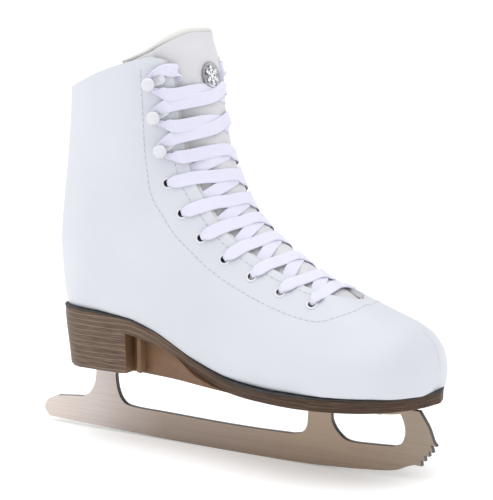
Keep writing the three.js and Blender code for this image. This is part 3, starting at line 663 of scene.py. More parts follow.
def layer_sheet(name, look, depth, start, end, step, columns, edge_gap=0.0):
    """Sheet of the boot at one depth, from facing edge round under the foot to facing edge."""
    stations = station_rows(start, end, step)
    edges = facing_edge(stations, edge_gap)
    shares = np.concatenate([np.linspace(0, UNDERFOOT, 5)[:-1], np.linspace(UNDERFOOT, 1, columns)])
    us = shares[None, :] * edges[:, None]
    near = boot_point(stations[:, None], us, -1, depth)
    far = boot_point(stations[:, None], us, 1, depth)
    grid = np.concatenate([near[:, ::-1], far[:, 1:]], axis=1)
    rows, wide = grid.shape[:2]
    joined = [i for i in range(rows - 1) if stations[i + 1] <= THROAT_END + 1e-6]
    if joined:
        joined.append(len(joined))
    obj = mesh(name, grid.reshape(-1, 3), grid_faces(rows, wide), look)
    with editing(obj) as bm:
        bm.verts.ensure_lookup_table()
        if start < CAPPED_BELOW:
            bm.faces.new([bm.verts[j] for j in range(wide - 1)])
        merge = [bm.verts[i * wide + j] for i in joined for j in (0, wide - 1)]
        bmesh.ops.remove_doubles(bm, verts=merge, dist=1e-6)
        bmesh.ops.recalc_face_normals(bm, faces=bm.faces)
    return face_out(obj)


# Line through the middle of the boot: it runs level from the toe to the ankle and then rises.
MIDDLE_REAR = -75
MIDDLE_FRONT = 110
MIDDLE_HEIGHT = 90
MIDDLE_RISE = 0.8


def face_out(obj):
    """Turns an open sheet of the boot so that its faces look away from the middle."""
    data = obj.data
    total = 0.0
    for polygon in data.polygons:
        x = polygon.center.x / MM
        height = MIDDLE_HEIGHT + max(0, -x) * MIDDLE_RISE
        middle = Vector((min(max(x, MIDDLE_REAR), MIDDLE_FRONT), 0, height)) * MM
        total += (polygon.center - middle).dot(polygon.normal) * polygon.area
    if total < 0:
        data.flip_normals()
    return obj


HOLE_RADIUS = 3.0
# Share of its height above the hole's own plane that a point on the rim keeps.
RIM_FLATTENED = 0.4


def punch(obj, places):
    """Cuts round eyelet holes in a sheet: drops the faces inside and draws the rest to the circle."""
    with editing(obj) as bm:
        for station, u, side in places:
            centre = Vector(boot_point(station, u, side) * MM)
            axis = Vector(boot_normal(station, u, side))
            inside = [v for v in bm.verts if (v.co - centre).length < HOLE_RADIUS * MM]
            rim = {w for v in inside for f in v.link_faces for w in f.verts} - set(inside)
            bmesh.ops.delete(bm, geom=inside, context="VERTS")
            for v in rim:
                out = v.co - centre
                height = out.dot(axis)
                flat = out - axis * height
                v.co = centre + flat.normalized() * HOLE_RADIUS * MM + axis * height * RIM_FLATTENED


TOE_SEAM_END = 2.4
SEAM_REACH = 12.0


def mark_toe_seam(obj):
    """Stores each point's distance to the centre seam on the front of the toe, in millimetres; the
    leather's groove and painted shade along the seam follow it.
    """
    points = boot_point(np.linspace(0, TOE_SEAM_END, 120), CROWN, 1)
    tree = KDTree(len(points))
    for k, p in enumerate(points):
        tree.insert(Vector(p), k)
    tree.balance()
    far = [min(tree.find(v.co / MM)[2], SEAM_REACH) for v in obj.data.vertices]
    obj.data.attributes.new("seam", "FLOAT", "POINT").data.foreach_set("value", far)


# Heights above the boot's lower line: the leather stays put above the first, and is drawn down fully
# below the second.
WELT_PULL = (7.0, 0.5)


def reach_welt(obj):
    """Draws the leather's lower edge down to the top of the welt."""
    co = points_of(obj.data) / MM
    line = sole_line(co[:, 0])
    drop = (line - welt_top(co[:, 0])) * smoothstep(*WELT_PULL, co[:, 2] - line)
    for vertex, fall in zip(obj.data.vertices, drop):
        vertex.co.z -= fall * MM


SKIN_RIM = 0.55


def upper():
    """Outer leather: punched for the eyelets, drawn down to the welt and given its thickness."""
    obj = layer_sheet("boot_upper", LEATHER, depth=0.0, start=0.0, end=COLLAR, step=0.085, columns=72)
    punch(obj, [(*place, side) for side in SIDES for place in EYELETS])
    mark_toe_seam(obj)
    reach_welt(obj)
    thicken(obj, SKIN_THICK, SKIN_RIM)
    finish_piece(obj, "upper_leather", "upper_shell")


# Layers below the leather: piece, CAD node, slot, material and thickness, then depth, first and last
# station, step, columns round one side and how far the edge stays behind the facing's.
INNER_LAYERS = (
    ("toe_puff_shell", "toe_puff", "board", BOARD, 1.2, (2.45, 0.3, 4.2, 0.2, 30)),
    ("heel_counter_shell", "heel_counter", "board", BOARD, 1.2, (2.45, 10.2, 15.0, 0.2, 30, 14.0)),
    ("padding_shell", "ankle_padding", "foam", FOAM, 1.2, (2.45, 15.05, 18.6, 0.2, 30, 14.0)),
    ("boot_lining", "lining", "lining_fabric", LINING_LOOK, 1.1, (4.3, 0.4, 18.75, 0.15, 44, 3.0)),
)


def inner_layers():
    """Puff, counter, padding and lining, each a thin shell below the one outside it."""
    for name, node, slot, look, thickness, extent in INNER_LAYERS:
        obj = layer_sheet(name, look, *extent)
        thicken(obj, thickness)
        finish_piece(obj, slot, node)


TRIM_DEPTH = 2.35
TRIM_THICK = 1.5
TRIM_RIM = 0.4
# Lines of the trim, by how far they lie behind the facing's edge.
TRIM_LINES = (9, 6, 3, 1, 0, -0.9, -1.5)


def facing_trim():
    """Edge of the lining leather that shows past both facings."""
    stations = np.arange(4.95, 18.95, 0.1)
    us = np.stack([facing_edge(stations, behind) for behind in TRIM_LINES], axis=1)
    parts = []
    for side in SIDES:
        grid = boot_point(stations[:, None], us, side, TRIM_DEPTH)
        part = face_out(mesh("trim", grid.reshape(-1, 3), grid_faces(*grid.shape[:2]), TRIM))
        parts.append(thicken(part, TRIM_THICK, TRIM_RIM))
    finish_piece(join("facing_trim", parts), "collar_trim")


# Section of the padded collar as (height above the collar line, depth below the skin).
COLLAR_SECTION = (
    (-0.6, 2.5), (0.7, 3.0), (1.5, 4.2), (1.4, 5.6), (0.2, 6.8), (-3.5, 7.6), (-9, 7.9), (-15, 7.4),
    (-19, 6.2), (-20.5, 4.9), (-18, 4.1), (-9, 3.6), (-3, 2.9))


# The pad runs from one place round the section at the facings to another at the heel.
PAD_FRONT = 6.3
PAD_REAR = 0.25
# At its two ends the pad narrows to this share, towards this depth.
PAD_END_SHARE = 0.35
PAD_MIDDLE = 4.6


def collar_pad():
    """Padded roll inside the collar, from one facing round the heel to the other."""
    us = np.linspace(PAD_FRONT, PAD_REAR, 60)
    places = [(-1, u) for u in us] + [(1, u) for u in us[::-1]]
    rings = []
    for k, (side, u) in enumerate(places):
        from_end = min(k, len(places) - 1 - k)
        full = min(1.0, PAD_END_SHARE + from_end / 4)
        ring = []
        for height, depth in COLLAR_SECTION:
            deep = PAD_MIDDLE + (depth - PAD_MIDDLE) * full
            point = boot_point(COLLAR, u, side, deep)
            below = boot_point(COLLAR - 1, u, side, deep)
            ring.append(point + unit(point - below) * height * (full if height < 0 else 1))
        rings.append(ring)
    obj = loft("collar_pad", rings, TRIM)
    inflate(obj, voxel=1.5, cap=1.3, pressure=4)
    finish_piece(obj, "collar_trim", "collar_roll")


# ---------------------------------------------------------------- stitching

def run_lengths(points):
    """Length run along a line up to each of its points."""
    return np.concatenate([[0], np.cumsum(np.linalg.norm(np.diff(points, axis=0), axis=1))])


def row_at(place, lengths, rows):
    """Row of a table at a length run along its line."""
    return np.array([np.interp(place, lengths, rows[:, k]) for k in range(rows.shape[1])])


THREAD_RADIUS = 0.24
NEEDLE_RADIUS = 0.3
# A stitch as (share of its length, height above the leather).
STITCH_ARCH = ((-0.5, -0.3), (-0.4, 0.0), (0, 0.06), (0.4, 0.0), (0.5, -0.3))


def stitch_row(points, normals, pitch, length):
    """Thread ends and dark discs of painted shade at the needle holes along a line: one short arched stitch
    at each pitch.
    """
    lengths = run_lengths(points)
    threads, hole_shades = [[], []], [[], []]
    for start in np.arange(pitch, lengths[-1] - pitch, pitch):
        up = unit(row_at(start, lengths, normals))
        arch = [row_at(start + share * length, lengths, points) + up * h for share, h in STITCH_ARCH]
        tube(threads, arch, up, THREAD_RADIUS)
        # Painted shade: a dark disc at each end of the stitch.
        for share in (-0.5, 0.5):
            disc(hole_shades, row_at(start + share * length, lengths, points) + up * 0.06, up, NEEDLE_RADIUS)
    return threads, hole_shades


def tube(into, path, up, radius, sides=6):
    """Adds a small tube through path to a list of points and faces."""
    points, faces = into
    start = len(points)
    way = unit(np.asarray(path[-1]) - np.asarray(path[0]))
    across = unit(np.cross(up, way))
    for centre in path:
        for j in range(sides):
            a = 2 * math.pi * j / sides
            points.append(centre + radius * (across * math.cos(a) + up * math.sin(a)))
    faces.extend(grid_faces(len(path), sides, closed=True, start=start))


def disc(into, centre, up, radius, sides=8):
    """Adds a small flat disc, facing up, to a list of points and faces."""
    points, faces = into
    start = len(points)
    across = unit(np.cross(up, (0.3, 0.2, 1.0)))
    over = np.cross(up, across)
    for j in range(sides):
        a = 2 * math.pi * j / sides
        points.append(centre + radius * (across * math.cos(a) + over * math.sin(a)))
    faces.append(tuple(range(start, start + sides)))


def stitched(name, rows):
    """One object with every thread and every painted-shade disc at a needle hole of the rows (points,
    normals, pitch, length).
    """
    objects = []
    for kind, look in ((0, THREAD), (1, NEEDLE_SHADE)):
        points, faces = [], []
        for row in rows:
            made = stitch_row(*row)[kind]
            faces.extend([tuple(i + len(points) for i in f) for f in made[1]])
            points.extend(made[0])
        objects.append(mesh(name, points, faces, look))
    finish_piece(join(name, objects), "collar_trim")


STITCH_PITCH = 4.0
STITCH_LENGTH = 3.1
# Row along a facing's edge: first and last station, and distance behind the edge.
EDGE_ROW = (5.6, 18.3)
EDGE_ROW_BEHIND = 3.6
# Row beside the heel's seam: first and last station, place round the section and length of a stitch.
HEEL_ROW = (12.9, 18.7)
HEEL_ROW_PLACE = 0.24
HEEL_STITCH = 2.6


def skin_row(stations, us, side, length):
    """Row of stitches on the skin, with the length of one stitch."""
    return boot_point(stations, us, side), boot_normal(stations, us, side), STITCH_PITCH, length


def stitching():
    """Seam round the facings, a row along each facing's edge and two rows beside the heel's seam."""
    seam = curve_at(OUTER_SEAM, np.linspace(0, len(OUTER_SEAM) - 1, 700))
    edge = np.linspace(*EDGE_ROW, 300)
    heel = np.linspace(*HEEL_ROW, 200)
    rows = []
    for side in SIDES:
        rows.append(skin_row(seam[:, 0], np.minimum(seam[:, 1], CROWN), side, STITCH_LENGTH))
        rows.append(skin_row(edge, facing_edge(edge, EDGE_ROW_BEHIND), side, STITCH_LENGTH))
    rows.extend(skin_row(heel, np.full(len(heel), HEEL_ROW_PLACE), side, HEEL_STITCH) for side in SIDES)
    stitched("seam_stitches", rows)


# ---------------------------------------------------------------- tongue

TONGUE_START = 4.62
TONGUE_END = 21
TONGUE_THICK = 4.0
TONGUE_GRID = (150, 61)
# The two faces keep this share of the outline; the rim between them is rounded.
RIM_SHARE = 0.985
# Depth of the tongue at its sides, how much less it is nearer the middle, then between the facings and,
# added to that, at the free top.
TUCKED_DEPTH = 7.4
TUCKED_RISE = 2.4
OPEN_DEPTH = 0.6
TOP_DEPTH = 1.5
# Station of the tongue's top edge at its sides, and how much higher it is in the middle.
TONGUE_SIDE_TOP = 19.35
TONGUE_TOP_RISE = 1.68


def tongue_edge(station):
    """How far round the section the tongue reaches."""
    return 6.3 - 0.85 * smoothstep(5, 9, station) - 0.45 * smoothstep(15, 20, station)


def tongue_depth(station, u):
    """Depth of the tongue below the boot's outer line: tucked under the facings, full between them."""
    tucked = TUCKED_DEPTH - TUCKED_RISE * smoothstep(6.0, 6.8, u)
    crowned = smoothstep(6.5, 8.3, u) * smoothstep(4.85, 6.0, station)
    top = TOP_DEPTH * smoothstep(18.6, 20.2, station)
    return tucked + (OPEN_DEPTH + top - tucked) * crowned


def tongue_top(u):
    """Station of the tongue's rounded top edge."""
    return TONGUE_SIDE_TOP + TONGUE_TOP_RISE * smoothstep(5.0, 7.9, u) ** 0.8


def tongue_grid(rows, columns, below, share):
    """Points of one face of the tongue, this far below its front; share shrinks its outline."""
    r = np.linspace(0, 1, rows)[:, None]
    a = np.linspace(-1, 1, columns)[None, :]
    first = TONGUE_START + (TONGUE_END - TONGUE_START) * r + 0 * a
    u = CROWN - (CROWN - tongue_edge(first)) * np.abs(a) * share
    top = TONGUE_START + (tongue_top(u) - TONGUE_START) * share
    station = TONGUE_START + (top - TONGUE_START) * r
    side = np.where(a < 0, -1.0, 1.0) + 0 * r
    return boot_point(station, u, side, tongue_depth(station, u) + below)


def tongue():
    """Padded tongue in one piece: an outer and an inner face, joined over a rounded rim."""
    rows, columns = TONGUE_GRID
    layers = ((0.0, RIM_SHARE), (TONGUE_THICK / 2, 1.0), (TONGUE_THICK, RIM_SHARE))
    count = rows * columns
    points = np.concatenate([tongue_grid(rows, columns, *layer).reshape(-1, 3) for layer in layers])
    faces = grid_faces(rows, columns) + [f[::-1] for f in grid_faces(rows, columns, start=2 * count)]
    border = list(range(columns))
    border += [i * columns + columns - 1 for i in range(1, rows)]
    border += [(rows - 1) * columns + j for j in range(columns - 2, -1, -1)]
    border += [i * columns for i in range(rows - 2, 0, -1)]
    for a, b in zip(border, border[1:] + border[:1]):
        for low in (0, count):
            high = low + count
            faces.append((b + low, a + low, a + high, b + high))
    obj = mesh("tongue_pad", points, faces, TONGUE_LOOK)
    with editing(obj) as bm:
        loose = [v for v in bm.verts if not v.link_faces]
        bmesh.ops.delete(bm, geom=loose, context="VERTS")
        bmesh.ops.recalc_face_normals(bm, faces=bm.faces)
    inflate(obj, voxel=1.7, cap=0.9, pressure=4)
    across_fold(obj)
    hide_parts("tongue", "tongue_flap")


def across_fold(obj):
    """Bakes a piece's placement into its mesh."""
    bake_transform(obj)


PIPING_WIDE = 2.0
PIPING_HIGH = 1.35
PIPING_REACH = 5.1
PIPING_SHARE = 0.99


def tongue_piping():
    """Thin bound edge round the tongue's free top."""
    a = np.linspace(-PIPING_SHARE, PIPING_SHARE, 90)
    u = CROWN - (CROWN - PIPING_REACH) * np.abs(a)
    side = np.where(a < 0, -1.0, 1.0)
    path = boot_point(tongue_top(u) - 0.05, u, side, tongue_depth(20.0, u) + TONGUE_THICK / 2)
    ahead = unit(np.gradient(path, axis=0))
    rings = []
    for centre, way in zip(path, ahead):
        across = unit(np.cross(way, (0.35, 0, 1)))
        over = np.cross(way, across)
        rings.append([centre + across * math.cos(t) * PIPING_WIDE + over * math.sin(t) * PIPING_HIGH
                      for t in np.linspace(0, 2 * math.pi, 10, endpoint=False)])
    obj = loft("tongue_piping", rings, TRIM)
    across_fold(obj)


BADGE_STATION = 17.15
BADGE_RADIUS = 9.3
BADGE_SIDE = -2.2
# Millimetres from one station to the next at the badge.
BADGE_PER_STATION = float(np.linalg.norm(
    boot_point(BADGE_STATION + 0.5, CROWN, 1) - boot_point(BADGE_STATION - 0.5, CROWN, 1)))
# Rings of the badge from its middle to its back edge, as (share of its radius, height).
BADGE_RINGS = (
    (0.02, 0.75), (0.3, 0.75), (0.55, 0.75), (0.8, 0.75), (0.84, 1.15), (0.91, 1.35), (0.98, 1.15),
    (1, 0.6), (0.98, -0.4))
SNOWFLAKE_REACH = 6.9
SNOWFLAKE_HEIGHT = 1.0
ARM_RADIUS = 0.5
# Twigs of an arm: places along it, turns away from it and length as a share of the arm.
TWIG_PLACES = (0.42, 0.7)
TWIG_TURNS = (-55, 55)
TWIG_SHARE = 0.26


def badge_point(y, z, height):
    """Place on the badge, y across the tongue and z up it, at a height above the tongue."""
    station = BADGE_STATION + z / BADGE_PER_STATION
    across = y + BADGE_SIDE
    side = 1 if across >= 0 else -1
    u = float(np.ravel(u_at_width(station, max(abs(across), 0.05)))[0])
    return boot_point(station, u, side, tongue_depth(station, u) - height)


def polar(degrees):
    """Point at distance 1 in a direction."""
    a = math.radians(degrees)
    return np.array((math.cos(a), math.sin(a)))


def snowflake_lines():
    """Six arms, each with two pairs of twigs, as (start, end)."""
    lines = []
    for degrees in range(90, 450, 60):
        arm = polar(degrees) * SNOWFLAKE_REACH
        lines.append((0 * arm, arm))
        for share in TWIG_PLACES:
            for turn in TWIG_TURNS:
                twig = polar(degrees + turn) * SNOWFLAKE_REACH * TWIG_SHARE
                lines.append((arm * share, arm * share + twig))
    return lines


def badge():
    """Plain round badge with a raised rim and a six-armed snowflake."""
    angles = np.linspace(0, 2 * math.pi, 56, endpoint=False)
    rings = []
    for share, height in BADGE_RINGS:
        reach = share * BADGE_RADIUS
        rings.append([badge_point(reach * math.cos(a), reach * math.sin(a), height) for a in angles])
    plate = loft("tongue_badge_plate", rings, SILVER, sharp=40)
    arms = [[], []]
    for start, end in snowflake_lines():
        path = [badge_point(*(start + (end - start) * t), SNOWFLAKE_HEIGHT) for t in (0, 0.5, 1)]
        tube(arms, path, np.array((1, 0, 0.2)), ARM_RADIUS)
    flake = mesh("flake", *arms, BADGE_LIGHT)
    obj = join("tongue_badge_plate", [plate, flake])
    finish_piece(obj, "badge_silver", "tongue_badge")


# ---------------------------------------------------------------- lace

LACE_HALF = 4.3
LACE_THICK = 0.55
LACE_STEP = 0.9


def lay(route, point, across, half=LACE_HALF, thick=LACE_THICK):
    """Adds a place to a lace's route, with the way its width points, its half width and half thickness."""
    route.append(np.concatenate([point, unit(across), (half, thick)]))


def along_skin(station, u, side, target):
    """Way in the skin's own plane from a place on the boot to a target point."""
    normal = boot_normal(station, u, side)
    way = np.asarray(target) - boot_point(station, u, side)
    return unit(way - normal * way.dot(normal))


def crown_level(station, u):
    """Station where the crown lies level with a place on the boot's side."""
    stations = np.linspace(station - 3, station + 3, 241)
    gaps = np.linalg.norm(boot_point(stations, CROWN, 1) - boot_point(station, u, 1), axis=1)
    return stations[gaps.argmin()]


# Lace just outside an eyelet and through it, as (distance before it, height, half width, half thickness).
INTO_EYELET = (
    (6.6, 1.2, 4.2, 0.55), (4.0, 1.5, 3.5, 0.75), (2.2, 1.4, 2.3, 1.0), (1.1, 0.2, 1.8, 1.2),
    (0.8, -1.4, 1.6, 1.2), (0.9, -3.0, 1.9, 1.0))


def eyelet_pass(route, station, u, side, source):
    """Down through an eyelet from outside, close to its front edge."""
    normal = boot_normal(station, u, side)
    at = boot_point(station, u, side)
    back = along_skin(station, u, side, source)
    across = np.cross(normal, -back)
    for out, height, half, thick in INTO_EYELET:
        lay(route, at + back * out + normal * height, across, half, thick)


# Search for the nearest place: reach in stations and round the section, and how it closes in each time.
SEARCH_REACH = (1.2, 0.8)
SEARCH_CLOSER = 0.45
SEARCH_TURNS = 7


def on_skin(point, side, station, u):
    """Place on the boot's skin nearest to a point, found from a first guess."""
    reach = np.array(SEARCH_REACH)
    shifts = np.linspace(-1, 1, 7)
    for _ in range(SEARCH_TURNS):
        stations, places = np.meshgrid(station + reach[0] * shifts, u + reach[1] * shifts, indexing="ij")
        places = np.clip(places, 4, CROWN)
        gaps = np.linalg.norm(boot_point(stations, places, side) - point, axis=-1)
        i, j = np.unravel_index(gaps.argmin(), gaps.shape)
        station, u = stations[i, j], places[i, j]
        reach = reach * SEARCH_CLOSER
    return station, u


# The crown's own normal is taken a little to one side of it.
NEAR_CROWN = 8.98


def straight_over(route, place, middle, side, steps, inward):
    """Lace between an eyelet or hook and the crown; steps are (share of the way, depth, half width)."""
    start = boot_point(*place, side)
    crown = boot_point(middle, CROWN, side)
    last = start
    for share, depth, half in steps:
        target = start + (crown - start) * share
        guess = (place[0] + (middle - place[0]) * share, place[1] + (CROWN - place[1]) * share)
        station, u = on_skin(target, side, *guess)
        normal = boot_normal(station, min(u, NEAR_CROWN), side)
        way = (crown - start) if inward else (start - crown)
        lay(route, boot_point(station, u, side, depth), np.cross(normal, unit(way)), half)
        last = boot_point(station, u, side)
    return last


# Share of the way from the eyelet to the crown, depth and half width: under a facing, and over one.
UNDER_FACING = ((0.1, 3.6, 3.4), (0.2, 3.9, 4.0), (0.4, 2.9, 4.3), (0.66, 1.3, 4.3), (0.85, 0.4, 4.3))
OVER_FACING = ((0.85, 0.3, 4.3), (0.66, 0.9, 4.3), (0.48, 0.1, 4.3), (0.33, -0.85, 4.3))
LOWEST_BAR = ((1.0, 0.0, 4.3), (0.7, 0.9, 4.3), (0.45, 0.6, 4.3), (0.26, -0.75, 4.3))
# Depth below the boot's outer line where a lace crosses the crown, on top of another or next to the tongue.
UPPER_LIFT = -1.1
LOWER_LIFT = 0.05


def over_crown(route, station, side, way, lift):
    """Lace across the middle of the tongue."""
    normal = boot_normal(station, NEAR_CROWN, side)
    lay(route, boot_point(station, CROWN, side, lift), np.cross(normal, unit(way)))


def crossing(route, low, high, middle, side, over, to_hook):
    """From under the facing at low, over the crown at middle and on to the other facing at high."""
    lift = UPPER_LIFT if over else LOWER_LIFT
    more = lift - LOWER_LIFT
    under = [(share, depth + more * smoothstep(0.5, 1, share), half) for share, depth, half in UNDER_FACING]
    above = [(share, depth + more * smoothstep(0.4, 1, share), half) for share, depth, half in OVER_FACING]
    straight_over(route, low, middle, side, under, True)
    over_crown(route, middle, side, boot_point(*high, -side) - boot_point(*low, side), lift)
    return straight_over(route, high, middle, -side, above[:1] if to_hook else above, False)


# Loop behind a hook's post: radius, height above the skin, and the lace's half width and half thickness.
HOOK_LOOP = 2.9
LOOP_HEIGHT = 2.5
LOOP_SECTION = (1.5, 0.9)
# Lace beside a hook: distance out along its way, height, half width, half thickness.
BESIDE_HOOK = ((11.5, 1.0, 4.3, 0.55), (7.5, 1.2, 3.8, 0.6), (3.6, 1.8, 2.3, 0.85))
HOOK_SPREAD = 4.2
# One place of the lace on its way from a hook to the crown: share of the way, and depth below its lift.
HOOK_BAR_SHARE = 0.75
HOOK_BAR_DEPTH = 0.5


def hook_pass(route, station, u, side, source, target):
    """Round the back of a hook's post, on edge and folded narrow; source and target lie ahead of it."""
    normal = boot_normal(station, u, side)
    at = boot_point(station, u, side)
    forward = along_skin(station, u, side, boot_point(station, u + 0.2, side))
    upward = along_skin(station, u, side, boot_point(station + 0.2, u, side))
    upward = unit(upward - forward * upward.dot(forward))

    def beside(goal, sign, steps):
        way = along_skin(station, u, side, goal)
        for out, height, half, thick in steps:
            place = at + sign * upward * HOOK_SPREAD + way * out + normal * height
            lay(route, place, sign * np.cross(normal, way), half, thick)

    beside(source, -1, BESIDE_HOOK)
    turning = np.cross(-forward, normal)
    on_edge = normal * (1 if turning.dot(-upward) < 0 else -1)
    for degrees in (-95, -135, 180, 135, 95):
        a = math.radians(degrees)
        place = at + HOOK_LOOP * (forward * math.cos(a) + upward * math.sin(a)) + normal * LOOP_HEIGHT
        lay(route, place, on_edge, *LOOP_SECTION)
    if target is not None:
        beside(target, 1, BESIDE_HOOK[::-1])


def lace_route(side):
    """Half of the lace, from the middle of its lowest bar to its tucked end."""
    route = []
    levels = EYELETS[::-1] + HOOKS[::-1]
    crowns = [crown_level(*place) for place in levels]
    source = straight_over(route, levels[0], crowns[0], side, LOWEST_BAR, False)
    for k in range(len(EYELETS)):
        eyelet_pass(route, *levels[k], side, source)
        middle = 0.5 * (crowns[k] + crowns[k + 1])
        to_hook = k == len(EYELETS) - 1
        source = crossing(route, levels[k], levels[k + 1], middle, side, side > 0, to_hook)
        side = -side
    for k in range(len(EYELETS), len(levels) - 1):
        middle = 0.5 * (crowns[k] + crowns[k + 1])
        target = boot_point(middle, CROWN, side)
        hook_pass(route, *levels[k], side, source, target)
        lift = UPPER_LIFT if side < 0 else LOWER_LIFT
        way = boot_point(*levels[k + 1], -side) - boot_point(*levels[k], side)
        steps = ((HOOK_BAR_SHARE, HOOK_BAR_DEPTH + lift, LACE_HALF),)
        straight_over(route, levels[k], middle, side, steps, True)
        over_crown(route, middle, side, way, lift)
        straight_over(route, levels[k + 1], middle, -side, steps, False)
        source = target
        side = -side
    hook_pass(route, *levels[-1], side, source, None)
    tuck(route, side)
    return route


# End of the lace as (stations above the top hook, place round the section, depth, half width).
TUCK = (
    (0.42, 6.2, -1.6, 2.4), (0.42, 6.42, -1.3, 3.6), (0.34, 6.66, -0.9, 4.2), (0.18, 6.92, 0.6, 4.3),
    (-0.2, 6.9, 3.4, 4.0), (-1.2, 6.4, 3.9, 3.6))


def tuck(route, side):
    """End of the lace: over the top of the facing and down between it and the tongue."""
    station = HOOKS[0][0]
    way = unit(boot_point(station, 7.0, side) - boot_point(station, 6.0, side))
    for rise, u, depth, half in TUCK:
        normal = boot_normal(station + rise, u, side)
        lay(route, boot_point(station + rise, u, side, depth), np.cross(normal, way), half)


def smooth_route(route):
    """Centripetal curve through the route's points, with its other numbers carried along."""
    rows = np.array(route)
    rows = np.concatenate([2 * rows[:1] - rows[1:2], rows, 2 * rows[-1:] - rows[-2:-1]])
    out = []
    for i in range(1, len(rows) - 2):
        p = rows[i - 1:i + 3]
        gaps = np.sqrt(np.maximum(np.linalg.norm(np.diff(p[:, :3], axis=0), axis=1), 1e-4))
        t = np.concatenate([[0], np.cumsum(gaps)])
        count = max(2, int(math.ceil(np.linalg.norm(p[2, :3] - p[1, :3]) / LACE_STEP)))
        for x in np.linspace(t[1], t[2], count, endpoint=False):
            a = [((t[j + 1] - x) * p[j] + (x - t[j]) * p[j + 1]) / (t[j + 1] - t[j]) for j in range(3)]
            b = [((t[j + 2] - x) * a[j] + (x - t[j]) * a[j + 1]) / (t[j + 2] - t[j]) for j in range(2)]
            point = ((t[2] - x) * b[0] + (x - t[1]) * b[1]) / (t[2] - t[1])
            share = (x - t[1]) / (t[2] - t[1])
            point[3:] = p[1, 3:] + (p[2, 3:] - p[1, 3:]) * share * share * (3 - 2 * share)
            out.append(point)
    return np.array(out)


# Section of the lace as (share of half width, share of half thickness).
LACE_SECTION = (
    (-1, 0), (-0.95, 0.75), (-0.8, 1), (-0.4, 0.92), (0, 0.88), (0.4, 0.92), (0.8, 1), (0.95, 0.75),
    (1, 0), (0.95, -0.75), (0.8, -1), (0.4, -0.92), (0, -0.88), (-0.4, -0.92), (-0.8, -1), (-0.95, -0.75))


def ribbon(name, route, look):
    """Flat body along a route, with its length and width as texture coordinates in millimetres."""
    rows = smooth_route(route)
    points, across = rows[:, :3], rows[:, 3:6]
    ahead = unit(np.gradient(points, axis=0))
    across = unit(across - ahead * (across * ahead).sum(axis=1, keepdims=True))
    up = np.cross(ahead, across)
    rings = np.stack([points + across * (w * rows[:, 6])[:, None] + up * (t * rows[:, 7])[:, None]
                      for w, t in LACE_SECTION], axis=1)
    obj = loft(name, rings, look)
    lengths = run_lengths(points)
    layer = obj.data.uv_layers.new(name="lace")
    sides = len(LACE_SECTION)
    for loop in obj.data.loops:
        row, k = divmod(loop.vertex_index, sides)
        layer.data[loop.index].uv = (lengths[row], LACE_SECTION[k][0] * LACE_HALF)
    return obj


def lace():
    """Flat lace in two halves that meet in the lowest bar."""
    halves = [ribbon(f"half_{k}", lace_route(side), LACE_LOOK) for k, side in enumerate(SIDES)]
    obj = join("shoe_lace", halves)
    finish_piece(obj, "lace_fabric", "lace")


# ---------------------------------------------------------------- eyelets and hooks

# Turned profiles as (radius, height above the skin).
EYELET_PROFILE = (
    (3.05, -1.8), (3.05, 0.02), (3.75, 0.02), (3.8, 0.2), (3.6, 0.42), (3.1, 0.52), (2.6, 0.42), (2.3, 0.2),
    (2.2, -0.3), (2.2, -1.8), (3.05, -1.8))
# The well is closed at its bottom and takes the near-black painted shade of the hole.
SHADE_WELL_PROFILE = ((2.33, 0.22), (2.24, 0.1), (2.14, -0.2), (2.1, -2.0), (0, -2.0))
POST_PROFILE = (
    (0, 0.9), (1.75, 0.9), (1.7, 3.9), (2.3, 4.15), (3.5, 4.5), (4.25, 5.3), (4.45, 6.2), (4.2, 7.15),
    (3.4, 7.95), (2.2, 8.35), (0, 8.5))
RIVET_PROFILE = ((0, 1.7), (0.9, 1.62), (1.6, 1.3), (1.8, 0.95))
RIVET_PLACE = 7.4


def copy_round_boot(obj, label, node, table):
    """Copies a piece to every place of a table, on both sides of the boot."""
    sides = (("right", -1), ("left", 1))
    spots = [(f"{name}_{k + 1}", place, side) for name, side in sides for k, place in enumerate(table)]
    matrices = [skin_matrix(*place, side) for _, place, side in spots]
    place_copies(obj, label, node, [name for name, _, _ in spots], matrices, "white_enamel")


def eyelets():
    """Enamelled eyelet rings, each with a closed near-black well of painted shade below it."""
    ring = turned("eyelet", EYELET_PROFILE, ENAMEL)
    shade_well = turned("shade_well", SHADE_WELL_PROFILE, PAINTED_SHADE, sharp=None)
    copy_round_boot(join("eyelet", [ring, shade_well]), "eyelet_ring", "eyelet", EYELETS)


# Strip under a hook: middles of its round ends along +X, half width, and its soft edges as
# (how far the outline is drawn in, height).
BASE_REAR = -1.1
BASE_FRONT = 7.6
BASE_HALF = 2.9
BASE_EDGES = ((0.25, 0.05), (0, 0.25), (0, 0.7), (0.12, 0.92), (0.35, 1.0))


def hook_base():
    """Flat strip with round ends and soft edges, lying along +X."""
    outline = []
    for centre, start in ((BASE_FRONT, -90), (BASE_REAR, 90)):
        for a in np.radians(np.linspace(start, start + 180, 13)):
            outline.append((centre + BASE_HALF * math.cos(a), BASE_HALF * math.sin(a)))
    outline = np.array(outline)
    away = unit(outline - np.clip(outline, (BASE_REAR, 0), (BASE_FRONT, 0)))
    rings = []
    for drawn_in, z in BASE_EDGES:
        rings.append([(x, y, z) for x, y in outline - away * drawn_in])
    return loft("base", rings, ENAMEL, sharp=50)


def lace_hooks():
    """Speed hooks: a post with a round head, on a strip that is riveted to the facing."""
    head = turned("hook", POST_PROFILE, ENAMEL, sharp=60)
    rivet = turned("rivet", RIVET_PROFILE, ENAMEL)
    rivet.data.transform(Matrix.Translation((RIVET_PLACE * MM, 0, 0)))
    copy_round_boot(join("hook", [head, hook_base(), rivet]), "speed_hook", "lace_hook", HOOKS)


# ---------------------------------------------------------------- sole

